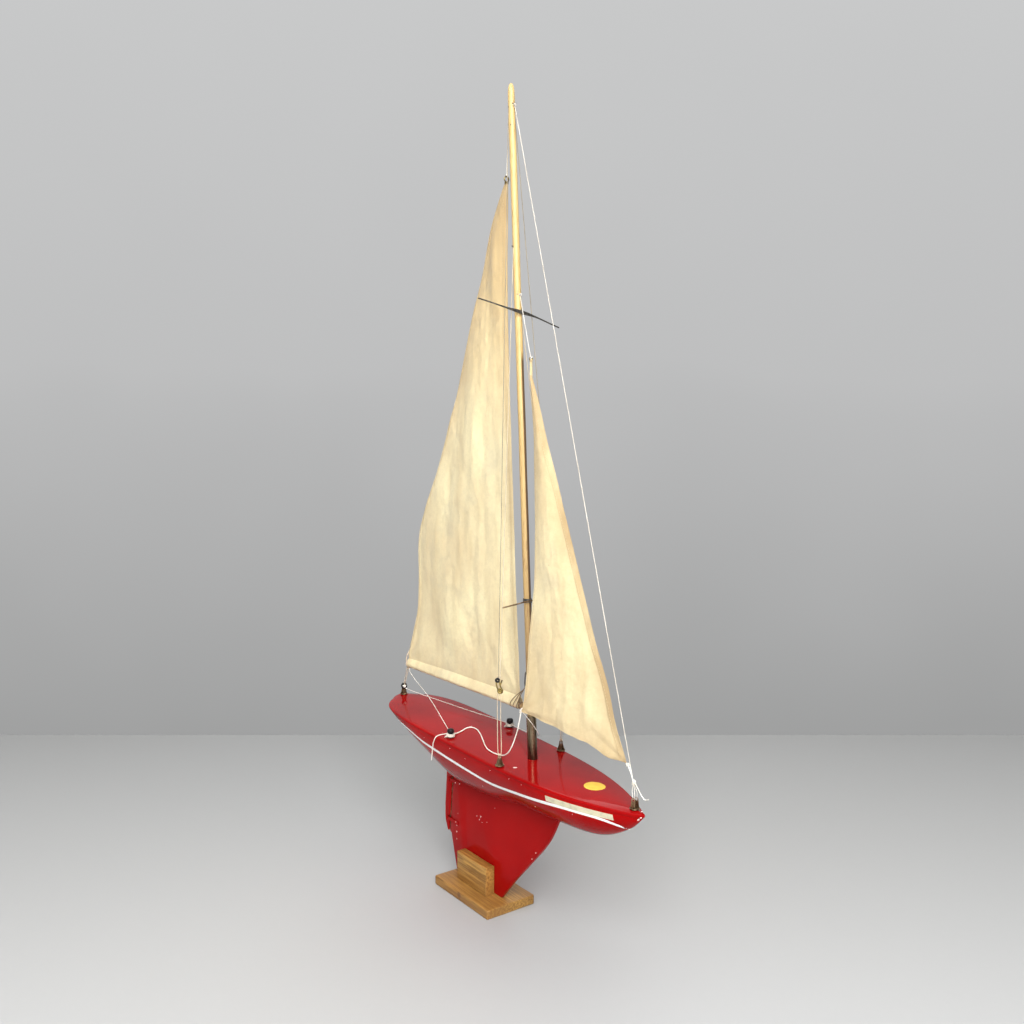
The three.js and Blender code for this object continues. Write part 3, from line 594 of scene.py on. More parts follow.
def on_mast(z, out=0.0, side=0.0):
    return np.array([on_line(MAST_FOOT, MAST_TOP, z, Z, X) + out, side, z])


def stations(low, high, count):
    return (low + high) / 2 - (high - low) / 2 * np.cos(np.linspace(0, math.pi, count))


# ---- cords --------------------------------------------------------------------------------
def eye_of(node, x, y, half):
    return np.array([x, y, box_of(node)[1][Z] - half])


CLEATS = {"starboard": np.array([-12.5, -42.5]), "port": np.array([-4.0, 46.5])}
STERN_EYE = eye_of("stern_eye", -206.0, 0, 3.4)
BOW_EYE = eye_of("bow_bracket", 289.0, 0, 3.0)
CHAIN_EYE = {side: eye_of("chainplate_" + side, 103.8, sign * 47.4, 2.6) for side, sign in SIDES.items()}
SHEET, LINE, TAIL, STAY, SHROUD = 1.6, 0.9, 1.2, 1.05, 0.95
STAY_FOOT = (281.6, 0, 255.2)
HEAD_RING, JIB_RING = (53, 0, 922.6), (102.3, 0, 700.6)


def cord_piece(name, parts, node=None, material=white_twine, body="boat"):
    return piece(name, joined(*parts), material, node, body=body)


def metres(points):
    return (np.asarray(points, float) * MM).tolist()


def free_cord(name, points, diameter, node, reaches=None):
    """A cord that hangs or lies free."""
    path = smooth_path(points, diameter * 0.42)
    made = cord_piece(name, [tube(path, diameter / 2, 12, 3)], node, body=None if reaches else "boat")
    if reaches:
        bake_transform(made)
    metres([path[0]])[0]
    metres(path[::3]) + metres([path[-1]])


def free_cords():
    x, y = CLEATS["starboard"]
    on_deck = [(x, y, deck_top(x, y) + 1.2) for x, y in (
        (-18, -30), (-21, -20), (-27, -8.5), (-26.5, -1), (-18, 0.8), (-1.6, -4.2), (20.5, -14.8),
        (40, -24.5), (54, -29.4), (67, -30.4), (78, -28.2))]
    free_cord("jib_sheet_cord", [
        (x + 1, y + 7, 223), *on_deck, (88.5, -28.2, 220.6), (97, -27.8, 228), (104, -26.6, 241),
        (109.4, -25.2, 256), (112.4, -24, 270), (113.6, -23, 279.4)],
        SHEET, "jib_sheet_starboard", ("jib", (0.104, -0.03, 0.232), (0.1134, -0.0236, 0.277)))
    free_cord("sheet_tail_cord", [
        (x - 6, y - 1, 222.4), (x - 12, y - 6, 220.6), (-26, -56, 219), (-29, -58.6, 211),
        (-31, -59, 200), (-33, -59.4, 186)], TAIL, "sheet_tail_starboard")
    free_cord("bow_tail_cord", [
        (286.9, 0, 243), (288.4, 0, 241), (291, 0, 237), (295, 0, 233), (299.6, 0, 228), (304.5, 0, 225.4),
        (310, 0, 227.6)], TAIL, "bow_tail")


def shrouds(side, sign):
    """The two shrouds of one side and the lanyard that ties them to the deck."""
    y = sign * 48.6
    cord_piece("shroud_upper_cord_" + side, [
        line_between(on_mast(1000, -0.6, sign * 4.2), (102.5, y - sign * 0.4, 321.5), SHROUD),
        knot((102.7, y - sign * 0.4, 323.4), 2.6, 0.7)], "shroud_upper_" + side, shaded_grey_twine)
    low_from = on_mast(834 if sign == STARBOARD else 762, 0, sign * 4.2)
    cord_piece("shroud_lower_cord_" + side, [
        line_between(low_from, (104.3, y - sign * 1.4, 321.5), SHROUD),
        knot((104.2, y - sign * 1.2, 324.0), 2.6, 0.7, 1.0)], "shroud_lower_" + side, shaded_buff_twine)
    eye = CHAIN_EYE[side]
    lanyard = rope([
        (103.6, y + sign * 0.6, 306), (103.2, y + sign * 1.3, 302), (103.2, y + sign * 1.7, 270),
        (eye[0] - 0.6, eye[1] + sign * 1.4, eye[2] + 3), (eye[0], eye[1], eye[2] - 0.9),
        (eye[0] + 0.6, eye[1] - sign * 1.4, eye[2] + 3), (105.4, y - sign * 1.7, 270),
        (105.4, y - sign * 1.3, 302), (105, y - sign * 0.6, 306)], SHROUD)
    tie = tube(coil(eye + (0, 0, 3.6), 1.7, 2, 1.6), 0.42, 8, 3)
    cord_piece("lanyard_cord_" + side, [lanyard, tie], "lanyard_" + side, tan_twine)


def forestay():
    cord_piece("forestay_cord", [
        line_between(on_mast(1000, 6.2), STAY_FOOT, STAY),
        tube(coil(on_mast(1001, 6.2), 1.4, 2.2, 3.0), 0.55, 8, 3)], "forestay", pale_twine)


def bow_lashing():
    """The strands that tie the forestay and the jib's foot to the bow."""
    tie = np.array([286.5, 0, 238])
    x, _, z = BOW_EYE
    strands = [rope([
        (277.6, gap * 0.5, 255.4), (281.5, gap * 0.6, 251), tie + (0, gap * 0.5, 0),
        (x - 1 + gap, gap * 1.6, z + 9), (x + gap * 0.6, gap * 1.5, z)], 0.8) for gap in (-1.3, 0.1, 1.4)]
    cord_piece("bow_lashing_cord", strands + [
        tube(coil(tie, 1.5, 3.2, 3.6), 0.45, 8, 3), knot(tie + (0.6, 0, 2.4), 3.9, 1.0, 0.8),
        line_between(STAY_FOOT, tie + (0, 0, 1), 1.0)], "bow_lashing")


def running_cords():
    """Mainsheet, deck lines, port jib sheet and halyards, which fittings hold from end to end."""
    sx, sy = CLEATS["starboard"]
    px, py = CLEATS["port"]
    mainsheet = cord_piece("mainsheet_cord", [
        rope([(-193.6 + gap * 0.6, gap, 268), (-199 + gap * 0.4, gap * 0.8, 254),
              STERN_EYE + (gap * 0.4, gap * 0.6, 2)], 1.1) for gap in (-1.1, 1.1)]
        + [knot((-193.4, 0, 267.2), 4.0, 1.0, 0.5)], "mainsheet", shaded_buff_twine, None)
    cord_piece("mainsheet_knot", [knot(STERN_EYE + (1.4, -0.6, 1.6), 5.4, 1.5)])
    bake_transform(mainsheet)
    boom_line = cord_piece("boom_line_cord", [
        rope([(-186, -1.4, 268), (-184, -2.6, 265), (-100, -20, 246), (sx - 5, sy + 2, 224)], LINE)],
        "boom_line_starboard", body=None)
    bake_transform(boom_line)
    cord_piece("deck_line_cord", [
        rope([STERN_EYE + (1.2, 0.6, 0), STERN_EYE + (4, 1, -1.2), (-110, 22, 228),
              (px - 5, py - 2, 223.4)], LINE)], "deck_line_port")
    port_sheet = cord_piece("jib_sheet_port_cord", [
        rope([(114.6, -21.6, 280), (118.6, -10, 264), (116.2, 1, 250), (100, 12, 240), (40, 34, 228),
              (px + 5, py - 1.6, 223)], LINE)], "jib_sheet_port", body=None)
    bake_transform(port_sheet)
    for name, node, top, turns_at, ring, up in (
            ("main_halyard_cord", "main_halyard", on_mast(998.6, -4.4), on_mast(999, -5.2), HEAD_RING, 0.2),
            ("jib_halyard_cord", "jib_halyard", on_mast(777.6, 4.6), on_mast(778.4, 5.6), JIB_RING, 2.8)):
        cord_piece(name, [
            line_between(top, ring, LINE), knot(np.add(ring, (0, 0, up)), 3.2, 0.8),
            tube(coil(turns_at, 1.3, 2.2, 2.4), 0.42, 8, 3)], node)


# ---- hull and deck ------------------------------------------------------------------------
STRIPE = curve_through([
    (-190, 5.6), (-160, 8.2), (-125, 11.4), (-99, 14.5), (-73, 19.0), (-46, 20.6), (-22, 22), (1, 23.6),
    (44, 26.2), (80, 28.2), (102, 27), (141, 22.7), (177, 18.9), (208, 15.6), (235, 14.4), (258, 15.2),
    (277, 19.4), (281.5, 23)])
WALL = 6
STICKER_AT, STICKER_RADIUS = (216.0, 6.0), 12.5


def section(x, start, cut, count):
    """A section from port round the bottom to starboard, from the depth start down, cut inwards."""
    beam = max(half_beam(x) - cut, 0.3 * half_beam(x))
    deep = max(depth_at(x) - cut, start + 0.4 * (depth_at(x) - start))
    first = math.asin(min(start / deep, 1) ** (FULLNESS / 2))
    turns = np.linspace(first, math.pi / 2, count)
    down = deep * np.sin(turns) ** (2 / FULLNESS)
    out = beam * np.maximum(np.cos(turns), 0) ** (2 / FULLNESS)
    side = np.column_stack([np.full(count, x), out, deck_line(x) - down])
    return np.vstack([side, side[-2::-1] * (1, -1, 1)])


def hull():
    xs = stations(-196.5, 301.6, 190)
    outer, hollow = ([section(x, DECK_THICK + 0.12, cut, 44) for x in xs] for cut in (0, WALL))
    for ring in outer:
        ring[[0, -1], 1] *= 1 - 0.25 / max(abs(ring[0, 1]), 1)
    piece("hull_planking", thick_sheet(outer, hollow), red, "hull_shell", 50)


def deck_ring(x):
    beam, seam = float(half_beam(x)), min(DECK_THICK, depth_at(x) * 0.98)
    roll = min(3.6, 0.5 * beam)
    drop = min(2.3, 0.55 * seam)
    side = []
    for down in (seam, seam - 0.1, 0.9 * seam, 0.75 * seam, 0.6 * seam):
        y = hull_point(x, min(down, depth_at(x) * 0.999), 1)[1]
        side.append((y - (0.3 if down == seam else 0.0) * min(1, beam / 4), down))
    shoulder = hull_point(x, min(drop, depth_at(x) * 0.9), 1)[1]
    side += [(shoulder - roll * (1 - math.cos(t)), drop * (1 - math.sin(t)))
             for t in np.linspace(0, math.pi / 2, 8)]
    edge = side[-1][0]
    side += [(edge * share, -CROWN * (1 - share ** 2)) for share in np.linspace(0.96, 0, 18)]
    side = [(x, y, deck_line(x) - down) for y, down in side]
    other = [(x, -y, z) for x, y, z in reversed(side[:-1])]
    return side + other + [(x, share * side[0][1], side[0][2]) for share in (-0.5, 0.5)]


def deck():
    rings = [np.array(deck_ring(x)) for x in stations(STERN + 0.05, 303.4, 210)]
    stem = rings[-1]
    middle = stem.mean(axis=0)
    for forward, share in ((0.5, 0.9), (0.85, 0.68), (1.05, 0.35)):
        rings.append(middle + (stem - middle) * share + (forward, 0, 0))
    made = piece("deck_board", lofted(rings), shaded_deck_red, "deck_plate", 45)
    cut_away(made, spun([(6.4, 0), (6.4, 60)], 48, on_mast(190), MAST_TOP - MAST_FOOT))


def cut_away(target, shape):
    cutter = piece("cutter", shape, red, body=None)
    change = target.modifiers.new("cut", "BOOLEAN")
    change.object = cutter
    change.solver = "EXACT"
    bpy.context.view_layer.update()
    old = target.data
    target.data = bpy.data.meshes.new_from_object(
        target.evaluated_get(bpy.context.evaluated_depsgraph_get()))
    target.modifiers.remove(change)
    bpy.data.meshes.remove(old)
    bpy.data.objects.remove(cutter)
    target.data.shade_smooth()
    target.data.set_sharp_from_angle(angle=math.radians(45))


def band(side, x0, x1, count, top, bottom, proud):
    """A strip that lies on the topside between two depths given as functions of x."""
    front, back = [], []
    for x in np.linspace(x0, x1, count):
        rows = np.array([hull_point(x, d, side) for d in np.linspace(top(x), bottom(x), 5)])
        way = rows - (x, 0, deck_line(x) - 2)
        way[:, 0] = 0
        way /= np.linalg.norm(way, axis=1)[:, None]
        front.append(rows + way * proud)
        back.append(rows - way * 0.5)
    return thick_sheet(front, back)


def hull_trim():
    def stripe_half(x):
        return 1.2 + 0.75 * np.clip((x + 190) / 150, 0, 1) - 0.5 * np.clip((x - 230) / 50, 0, 1)

    stripes = [band(side, -190, 281.4, 240, lambda x: STRIPE(x) - stripe_half(x),
                    lambda x: STRIPE(x) + stripe_half(x), 0.12) for side in SIDES.values()]
    piece("waterline_stripe", joined(*stripes), white, sharp=40)
    name_top = curve_through([(188, 7.6), (230, 6.6), (273, 6.2)])
    name_strip = band(STARBOARD, 188, 273, 60, name_top, lambda x: name_top(x) + 6.6, 0.3)
    piece("blank_name_strip", name_strip, cream_label, sharp=40)
    rings = []
    for share, lift in ((1.0, -0.48), (1.0, 0.02), (0.93, 0.2), (0.6, 0.2), (0.25, 0.2)):
        ring = [(STICKER_AT[0] + STICKER_RADIUS * share * math.cos(a),
                 STICKER_AT[1] + STICKER_RADIUS * share * math.sin(a)) for a in np.arange(48) * TAU / 48]
        rings.append([(x, y, deck_top(x, y) + lift) for x, y in ring])
    piece("blank_deck_sticker", lofted(rings), yellow_label, sharp=40)


def fleck(point, normal, size, seed):
    """A thin ragged patch where paint has chipped off."""
    normal, across, up = basis(normal)
    rim = []
    for a in np.arange(14) * TAU / 14:
        r = size * (0.75 + 0.5 * noise.noise(Vector((3 * math.cos(a), 3 * math.sin(a), seed))))
        rim.append(np.asarray(point, float) + r * (1.5 * math.cos(a) * across + math.sin(a) * up))
    return lofted([[p + lift * normal for p in rim] for lift in (-0.3, 0.06)])


def paint_chips():
    parts = [fleck((x, y, deck_top(x, y)), (0, 0, 1), size, k)
             for k, (x, y, size) in enumerate([(118, -35, 2.1), (297, 3, 0.8)])]
    for k, (x, down, size) in enumerate([
            (4, 6.4, 0.6), (38, 9.5, 0.5), (92, 7.2, 0.45), (128, 6.5, 0.55), (161, 32, 0.7), (58, 41, 0.6),
            (-60, 11, 0.4), (150, 6.8, 0.4), (223, 20, 0.4), (298, 6.4, 1.5), (301, 3.4, 1.1)]):
        a, b, c = (hull_point(x + dx, down + dd, STARBOARD) for dx, dd in ((0, 0), (1, 0), (0, 1)))
        way = np.cross(b - a, c - a)
        parts.append(fleck(a, way * (1 if way[1] < 0 else -1), size, k + 10))
    for k, (x, z, size) in enumerate([
            (-11, 104, 0.7), (-5, 101, 0.9), (-2, 106, 1.0), (1, 99, 0.5), (12, 103, 0.5), (109.8, 89, 1.1),
            (117.5, 99.6, 0.9), (-58, 92, 0.5), (-61, 55, 0.6), (30, 128, 0.4)]):
        parts.append(fleck((x, -KEEL_THICK / 2, z), (0, -1, 0), size, k + 30))
    piece("paint_chips", joined(*parts), primer, sharp=60)


# ---- keel and rudder ----------------------------------------------------------------------
KEEL_THICK, RUDDER_THICK = 5.6, 4.4
FLOOR = 12.6
AXIS_BOTTOM, AXIS_TOP = np.array([-83.2, 0, 60]), np.array([-72.7, 0, 156])
STRAP_HEIGHTS = {"lower": 78.0, "upper": 135.0}


def upright(a, b, across):
    return (a, across, b)


def rudder_axis(z):
    return on_line(AXIS_BOTTOM, AXIS_TOP, z, Z, X)


def keel():
    """The fin; its sides taper over the last few millimetres in front of the rudder."""
    leading = smooth_path([
        (163, keel_line(163) + 1.5, 0), (141.9, 122, 0), (102, 77, 0), (70, 43, 0), (44, FLOOR, 0)], 6)[:, :2]
    notch = [(26, FLOOR), (26, 46), (-34, 46), (-34, FLOOR)]
    heel = [(-61, FLOOR), (-66.5, 31), (-71, 46), (-73.6, 56), (-74.4, 58.8), (-79.4, 60.4)]
    trailing = [(rudder_axis(z) + 3.2, z) for z in np.linspace(62, keel_line(-69) + 1.5, 20)]
    crest = [(x, keel_line(x) + 1.5) for x in np.linspace(-60, 155, 40)]
    outline = resampled([*leading, *notch, *heel, *trailing, *crest], 5)
    vertices, faces = rounded_plate(outline, KEEL_THICK / 2, 1.1, upright)
    ahead = vertices[:, X] - (rudder_axis(vertices[:, Z]) + 3.2)
    taper = np.clip(1 - ahead / 9.0, 0, 1) * np.clip((vertices[:, Z] - 50) / 14, 0, 1)
    vertices[:, Y] *= 1 - 0.62 * taper ** 1.3
    piece("keel_board", (vertices, faces), red, "keel_fin", 30)


def strap(word, z):
    """A hinge strap bent round the rudder's pin, painted with the hull."""
    x = rudder_axis(z)
    reach = x + 25
    arc = [(x + 0.9 + 3.3 * math.cos(a), 3.3 * math.sin(a))
           for a in np.linspace(math.pi / 2, 1.5 * math.pi, 17)]
    outer = [(reach, 3.4)] + [(px - 0.3, py * 1.08) for px, py in arc] + [(reach, -3.4)]
    back = [(reach, -3.05)] + [(px + 0.25, py * 0.94) for px, py in reversed(arc)] + [(reach, 3.05)]
    ring = resampled(outer + back, 3)
    rows = [[(px, py, z + h) for px, py in ring] for h in (-2.5, -2.3, 0, 2.3, 2.5)]
    piece("rudder_strap_band_" + word, skin(rows, caps=True), red, "rudder_strap_" + word, 40, slot="brass")


def rudder():
    clear, deep, gap = 3.3, 4.5, 1.2
    outline = [(-85.2, 156), (rudder_axis(156) + gap, 156)]
    for z in (STRAP_HEIGHTS["upper"], STRAP_HEIGHTS["lower"]):
        outline += [(rudder_axis(z + clear) + gap, z + clear), (rudder_axis(z) - deep, z + clear),
                    (rudder_axis(z) - deep, z - clear), (rudder_axis(z - clear) + gap, z - clear)]
    outline += [(rudder_axis(60) + gap, 60), (-84.4, 60), (-87.4, 66.5), (-90, 72.5), (-91, 80), (-90.8, 96)]
    outline = resampled(rounded_outline(outline, 1.0, 3), 5)
    board = piece("rudder_board", rounded_plate(outline, RUDDER_THICK / 2, 0.9, upright), red,
                  "rudder_blade", 40, "rudder")
    way = AXIS_TOP - AXIS_BOTTOM
    cut_away(board, spun([(1.4, 0), (1.4, 110)], 24, AXIS_BOTTOM - way * 0.05, way))
    rod = [(0.6, 0), (1.1, 0.4), (1.1, 94.6), (0.9, 95.2), (0.3, 95.5)]
    piece("rudder_rod", spun(rod, 16, AXIS_BOTTOM + way * 0.005, way), aged, "rudder_pin", 40, "rudder")
    for word, z in STRAP_HEIGHTS.items():
        strap(word, z)
    nail = [(0.8, -0.2), (0.85, 0.12), (0.6, 0.34), (0.15, 0.42)]
    places = ((-62.5, 134.2, 3.4), (-52, 135.8, 3.4), (-60.3, 74.6, 2.8), (-60.4, 65.6, 2.8), (-62, 79, 3.4))
    nails = [spun(nail, 14, (x, side * lift, z), (0, side, 0))
             for x, z, lift in places for side in SIDES.values()]
    piece("rudder_strap_nails", joined(*nails), primer, sharp=50, slot="aged_metal")


# ---- mast, spreaders and deck fittings ----------------------------------------------------
def mast():
    way = MAST_TOP - MAST_FOOT
    height = np.linalg.norm(way)
    profile = [(4.6 - 0.4 * max(h / height - 0.5, 0) * 2, h) for h in np.linspace(0, height - 24, 90)]
    profile += [(4.15, height - 15), (4.0, height - 10), (3.5, height - 5.5), (2.6, height - 2.2),
                (1.3, height - 0.5), (0.4, height)]
    vertices, faces = spun(profile, 40, MAST_FOOT, way)
    bent = []
    for p in vertices:
        v = Vector(p) * 0.012
        bent.append((p[0] + 0.35 * noise.noise(v), p[1] + 0.35 * noise.noise(v + Vector((7, 3, 1))), p[2]))
    piece("mast_pole", (bent, faces), mast_pine, "mast", 40)
    foot = on_mast(172)
    length = np.linalg.norm(on_mast(268.5) - foot)
    sleeve = [(6.1, 0), (6.1, length * 0.5), (6.12, length - 3), (6.2, length - 1.2), (6.05, length - 0.3),
              (5.8, length), (5.25, length), (5.0, length - 0.5), (4.95, length * 0.5), (4.95, 0)]
    piece("mast_sleeve", skin(spun_rings(sleeve, 48, foot, way), around=True), pipe, "mast_tube", 40)
    nail, heads = [(0.75, -0.4), (0.8, 0.1), (0.5, 0.28), (0.1, 0.34)], []
    for z, x, y in ((978, 0.5, -0.87), (1003, 0.9, -0.4), (1000, -0.75, -0.66), (836, -0.3, -0.95),
                    (779, 0.7, -0.7), (329, -0.3, -0.95), (455, 0.2, -1), (560, -0.2, -1)):
        out = np.array([x, y, 0]) / math.hypot(x, y)
        heads.append(spun(nail, 12, on_mast(z) + out * 4.35, out))
    piece("mast_nail_heads", joined(*heads), dark, sharp=50)


def spreaders():
    low, high = box_of("spreader_upper")
    ends = [np.array([low[0] + 0.6, -58, high[2] - 1.0]), np.array([low[0] + 0.6, 63.4, low[2] + 1.0])]
    c, s = np.cos(np.arange(16) * TAU / 16), np.sin(np.arange(16) * TAU / 16)
    oval = np.column_stack([0.55 * np.abs(s) ** 0.6 * np.copysign(1, s), 0 * s,
                            np.abs(c) ** 0.6 * np.copysign(1, c)])
    rows = []
    for t in np.linspace(-1, 1, 73):
        centre = (ends[0] + ends[1]) / 2 + (ends[1] - ends[0]) / 2 * t
        beyond = np.clip(abs(centre[1]) - 8, 0, None) / 55
        centre = centre + np.array([7.9 * (1 - beyond ** 1.15), 0, 0.5 * math.sin(5 * t)])
        rows.append(centre + oval * (1, 1, 0.85 + 1.5 * math.exp(-(centre[1] / 17) ** 2)))
    piece("spreader_upper_blade", lofted(rows), dark, "spreader_upper", 40)
    half = [(96.4, 37.6, 405.5), (100.5, 20, 408.5), (102.8, 7, 410.6)]
    wire = [(x, -y, z) for x, y, z in half] + [(103.1, 0, 411)] + half[::-1]
    piece("spreader_lower_wire", rope(wire, 1.8, 14, 0, 0.5), aged, "spreader_lower", 50)
    piece("spreader_binding", tube(coil(on_mast(410.5), 5.35, 6, 4.5), 0.42, 8), dark, sharp=60)


def deck_eye(name, node, eye, radius, half, gap, along=False):
    """A stamped deck eye: a dished foot with a raised rim, and two pierced lugs a gap apart.

    The gap is across the boat, or along it."""
    x, y, foot = eye[0], eye[1], box_of(node)[0][Z]
    top = eye[2] - foot

    def place(a, b, out):
        return (x + out, y + a, foot + b) if along else (x + a, y + out, foot + b)

    dish = [(0.4, 0), (radius - 0.5, 0), (radius, 0.25), (radius + 0.1, 1.0), (radius - 0.15, 1.3),
            (radius - 0.6, 1.1), (radius - 1.3, 0.65), (0.4, 0.6)]
    parts = [spun(dish, 40, (x, y, foot))]
    wide = radius * 0.62
    lug = [(-wide, 0.5), (-half * 1.05, top * 0.7)]
    lug += [(half * math.cos(a), top + half * math.sin(a)) for a in np.linspace(math.pi, 0, 13)]
    lug += [(half * 1.05, top * 0.7), (wide, 0.5)]
    for lean in (-1, 1):
        def leaning(a, b, level, lean=lean):
            splay = (radius * 0.6 - gap / 2) * max(1 - b / top, 0) ** 1.3
            return place(a, b, level + lean * (gap / 2 + splay))

        parts.append(pierced_plate(lug, (0, top), 1.45, 0.34, leaning))
    for sign in (-1, 1):
        nail = place(0, 0.8, sign * radius * 0.66)
        parts.append(spun([(0.95, -0.2), (0.95, 0.15), (0.7, 0.5), (0.15, 0.62)], 12, nail))
    piece(name, joined(*parts), aged, node, 40)


def pierced_plate(outline, centre, radius, half, place):
    """A flat plate with one round hole, as a ring swept from its outside to its hole."""
    outside = even_steps(np.vstack([outline, outline[:1]]), 0.1)
    turn = np.unwrap(np.arctan2(*(outside - centre).T[::-1]))
    order = np.argsort(turn)
    wanted = np.linspace(turn.min(), turn.min() + TAU, 48, endpoint=False)
    rim = np.column_stack([np.interp(wanted, turn[order], outside[order][:, k]) for k in range(2)])
    hole = centre + radius * np.column_stack([np.cos(wanted), np.sin(wanted)])
    side = [(rim, half - 0.12), (rim + (centre - rim) * 0.03, half), (hole + (hole - centre) * 0.12, half),
            (hole, half - 0.12)]
    side += [(shape, -level) for shape, level in reversed(side)]
    return skin([[place(a, b, level) for a, b in shape] for shape, level in side], around=True)


def cleat(side):
    x, y = CLEATS[side]
    z = box_of("cleat_" + side)[0][Z]
    post = [(4.1, 0), (4.2, 0.4), (3.9, 1.1), (2.0, 1.7), (1.7, 2.4), (1.7, 4.9), (3.1, 5.4), (4.2, 6.4),
            (4.5, 8.2), (4.4, 9.8), (3.7, 11.1), (2.2, 11.8), (0.4, 12)]
    piece("cleat_stud_" + side, spun(post, 36, (x, y, z)), black, "cleat_" + side, 60, slot="black_paint")
    layers = 4.3 + 0.7 * np.abs(np.sin(np.linspace(0, 1, 221) * math.pi * 2.5))
    winding = coil((x, y, z + 3.3), layers, 11, 3.4, start=side == "port")
    uneven = np.array([p + 0.5 * np.array(noise.noise_vector(Vector(p) * 0.25)) for p in winding])
    end = rope([(x - 2, y - 4.6, z + 2.2), (x - 2.6, y - 6.4, z + 1.6), (x - 1.8, y - 8.0, z + 1.2)], 1.3)
    cord_piece("cleat_winding_" + side, [
        tube(uneven, 0.72, 9, 3), knot((x - 0.5, y - 4.8, z + 2.9), 3.8, 1.2, 0.7), end],
        "cleat_turns_" + side, pale_twine)


def double_hook(side, sign):
    """The brass hook that joins the shrouds of one side to their lanyard."""
    centre = np.array([103.9, sign * 48.6, 313.4])
    aside = np.array([0.6, -0.8 * sign, 0])

    def ring_at(shift, height, radius, thick):
        turn = np.linspace(0, TAU * 0.97, 49)[:, None]
        middle = centre + aside * shift + (0, 0, height)
        return tube(middle + radius * (np.cos(turn) * aside + np.sin(turn) * (0, 0, 1)), thick, 12)

    link = [rope([centre + aside * a + (0, 0, b) for a, b in places], 1.7, 12, 0) for places in (
        ((-3.2, 5.6), (-2.6, 0.5), (-1.2, -4.2)), ((0.2, 6.6), (1.4, 1.0), (3.0, -3.4)),
        ((1.6, 1.2), (2.9, 4.4), (3.9, 7.4)))]
    ball = [(0.3, -1.9), (1.5, -1.2), (1.9, 0), (1.5, 1.2), (0.3, 1.9)]
    link += [ring_at(1.6, -6.0, 2.5, 1.25), spun(ball, 16, centre + aside * 1.6 + (0, 0, -6.0))]
    piece("shroud_double_hook_" + side, joined(*link), brass, "shroud_hook_" + side, 60)
    piece("shroud_hook_ring_" + side, ring_at(-1.6, 7.0, 1.8, 1.35), black, sharp=60)


def deck_fittings():
    for side in SIDES:
        deck_eye("chainplate_eye_" + side, "chainplate_" + side, CHAIN_EYE[side], 5.4, 2.3, 2.2)
        cleat(side)
    deck_eye("bow_deck_eye", "bow_bracket", BOW_EYE, 5.6, 2.6, 5.0)
    deck_eye("stern_deck_eye", "stern_eye", STERN_EYE, 5.4, 2.6, 2.4, along=True)
    ring = tube(coil(STERN_EYE + (0.6, 0, 1.9), 3.5, 2.0, 2.2, axis="x"), 1.2, 10)
    piece("stern_eye_ring", ring, black, sharp=60)
    for side, sign in SIDES.items():
        double_hook(side, sign)
    gooseneck = rope([
        on_mast(321, -4.4), (92.6, 0, 320), (91.4, 0, 314), (91.2, 0, 304), (92.8, 0, 300.4), (95, 0, 302)],
        1.6, 14, 0, 0.4)
    wrap = tube(coil(on_mast(321), 5.0, 2.2, 3.0), 0.6, 8)
    piece("gooseneck_wire", joined(gooseneck, wrap), dark, "gooseneck_hook", 60)


# ---- sails --------------------------------------------------------------------------------
CLOTH = 0.5
BOOM_AFT, BOOM_FORE, BOOM_RADIUS = np.array([-193, 0, 274.0]), np.array([86, 0, 276.3]), 3.7


def hem_columns(width, luff_hem, leech_hem, inside):
    """Shares across a row: fixed distances inside each hem, then even steps between the hems."""
    fit = min(1.0, 0.42 * width / max(luff_hem, leech_hem))
    near = np.array([0, 0.25, 0.6, 0.92, 1.0, 1.1])
    leech = near * leech_hem * fit / width
    luff = 1 - near * luff_hem * fit / width
    return np.concatenate([leech, np.linspace(leech[-1], luff[-1], inside + 2)[1:-1], luff[::-1]])


def store_browning(obj, points, dirt_and_shade):
    """Writes a browning value (dirt and painted shade) on each vertex, from the nearest point of a grid."""
    tree = kdtree.KDTree(dirt_and_shade.size)
    for i, p in enumerate(points.reshape(-1, 3) * MM):
        tree.insert(p, i)
    tree.balance()
    values = dirt_and_shade.reshape(-1)
    store = obj.data.attributes.new("browning", "FLOAT", "POINT")
    for vertex in obj.data.vertices:
        store.data[vertex.index].value = float(values[tree.find(vertex.co)[1]])


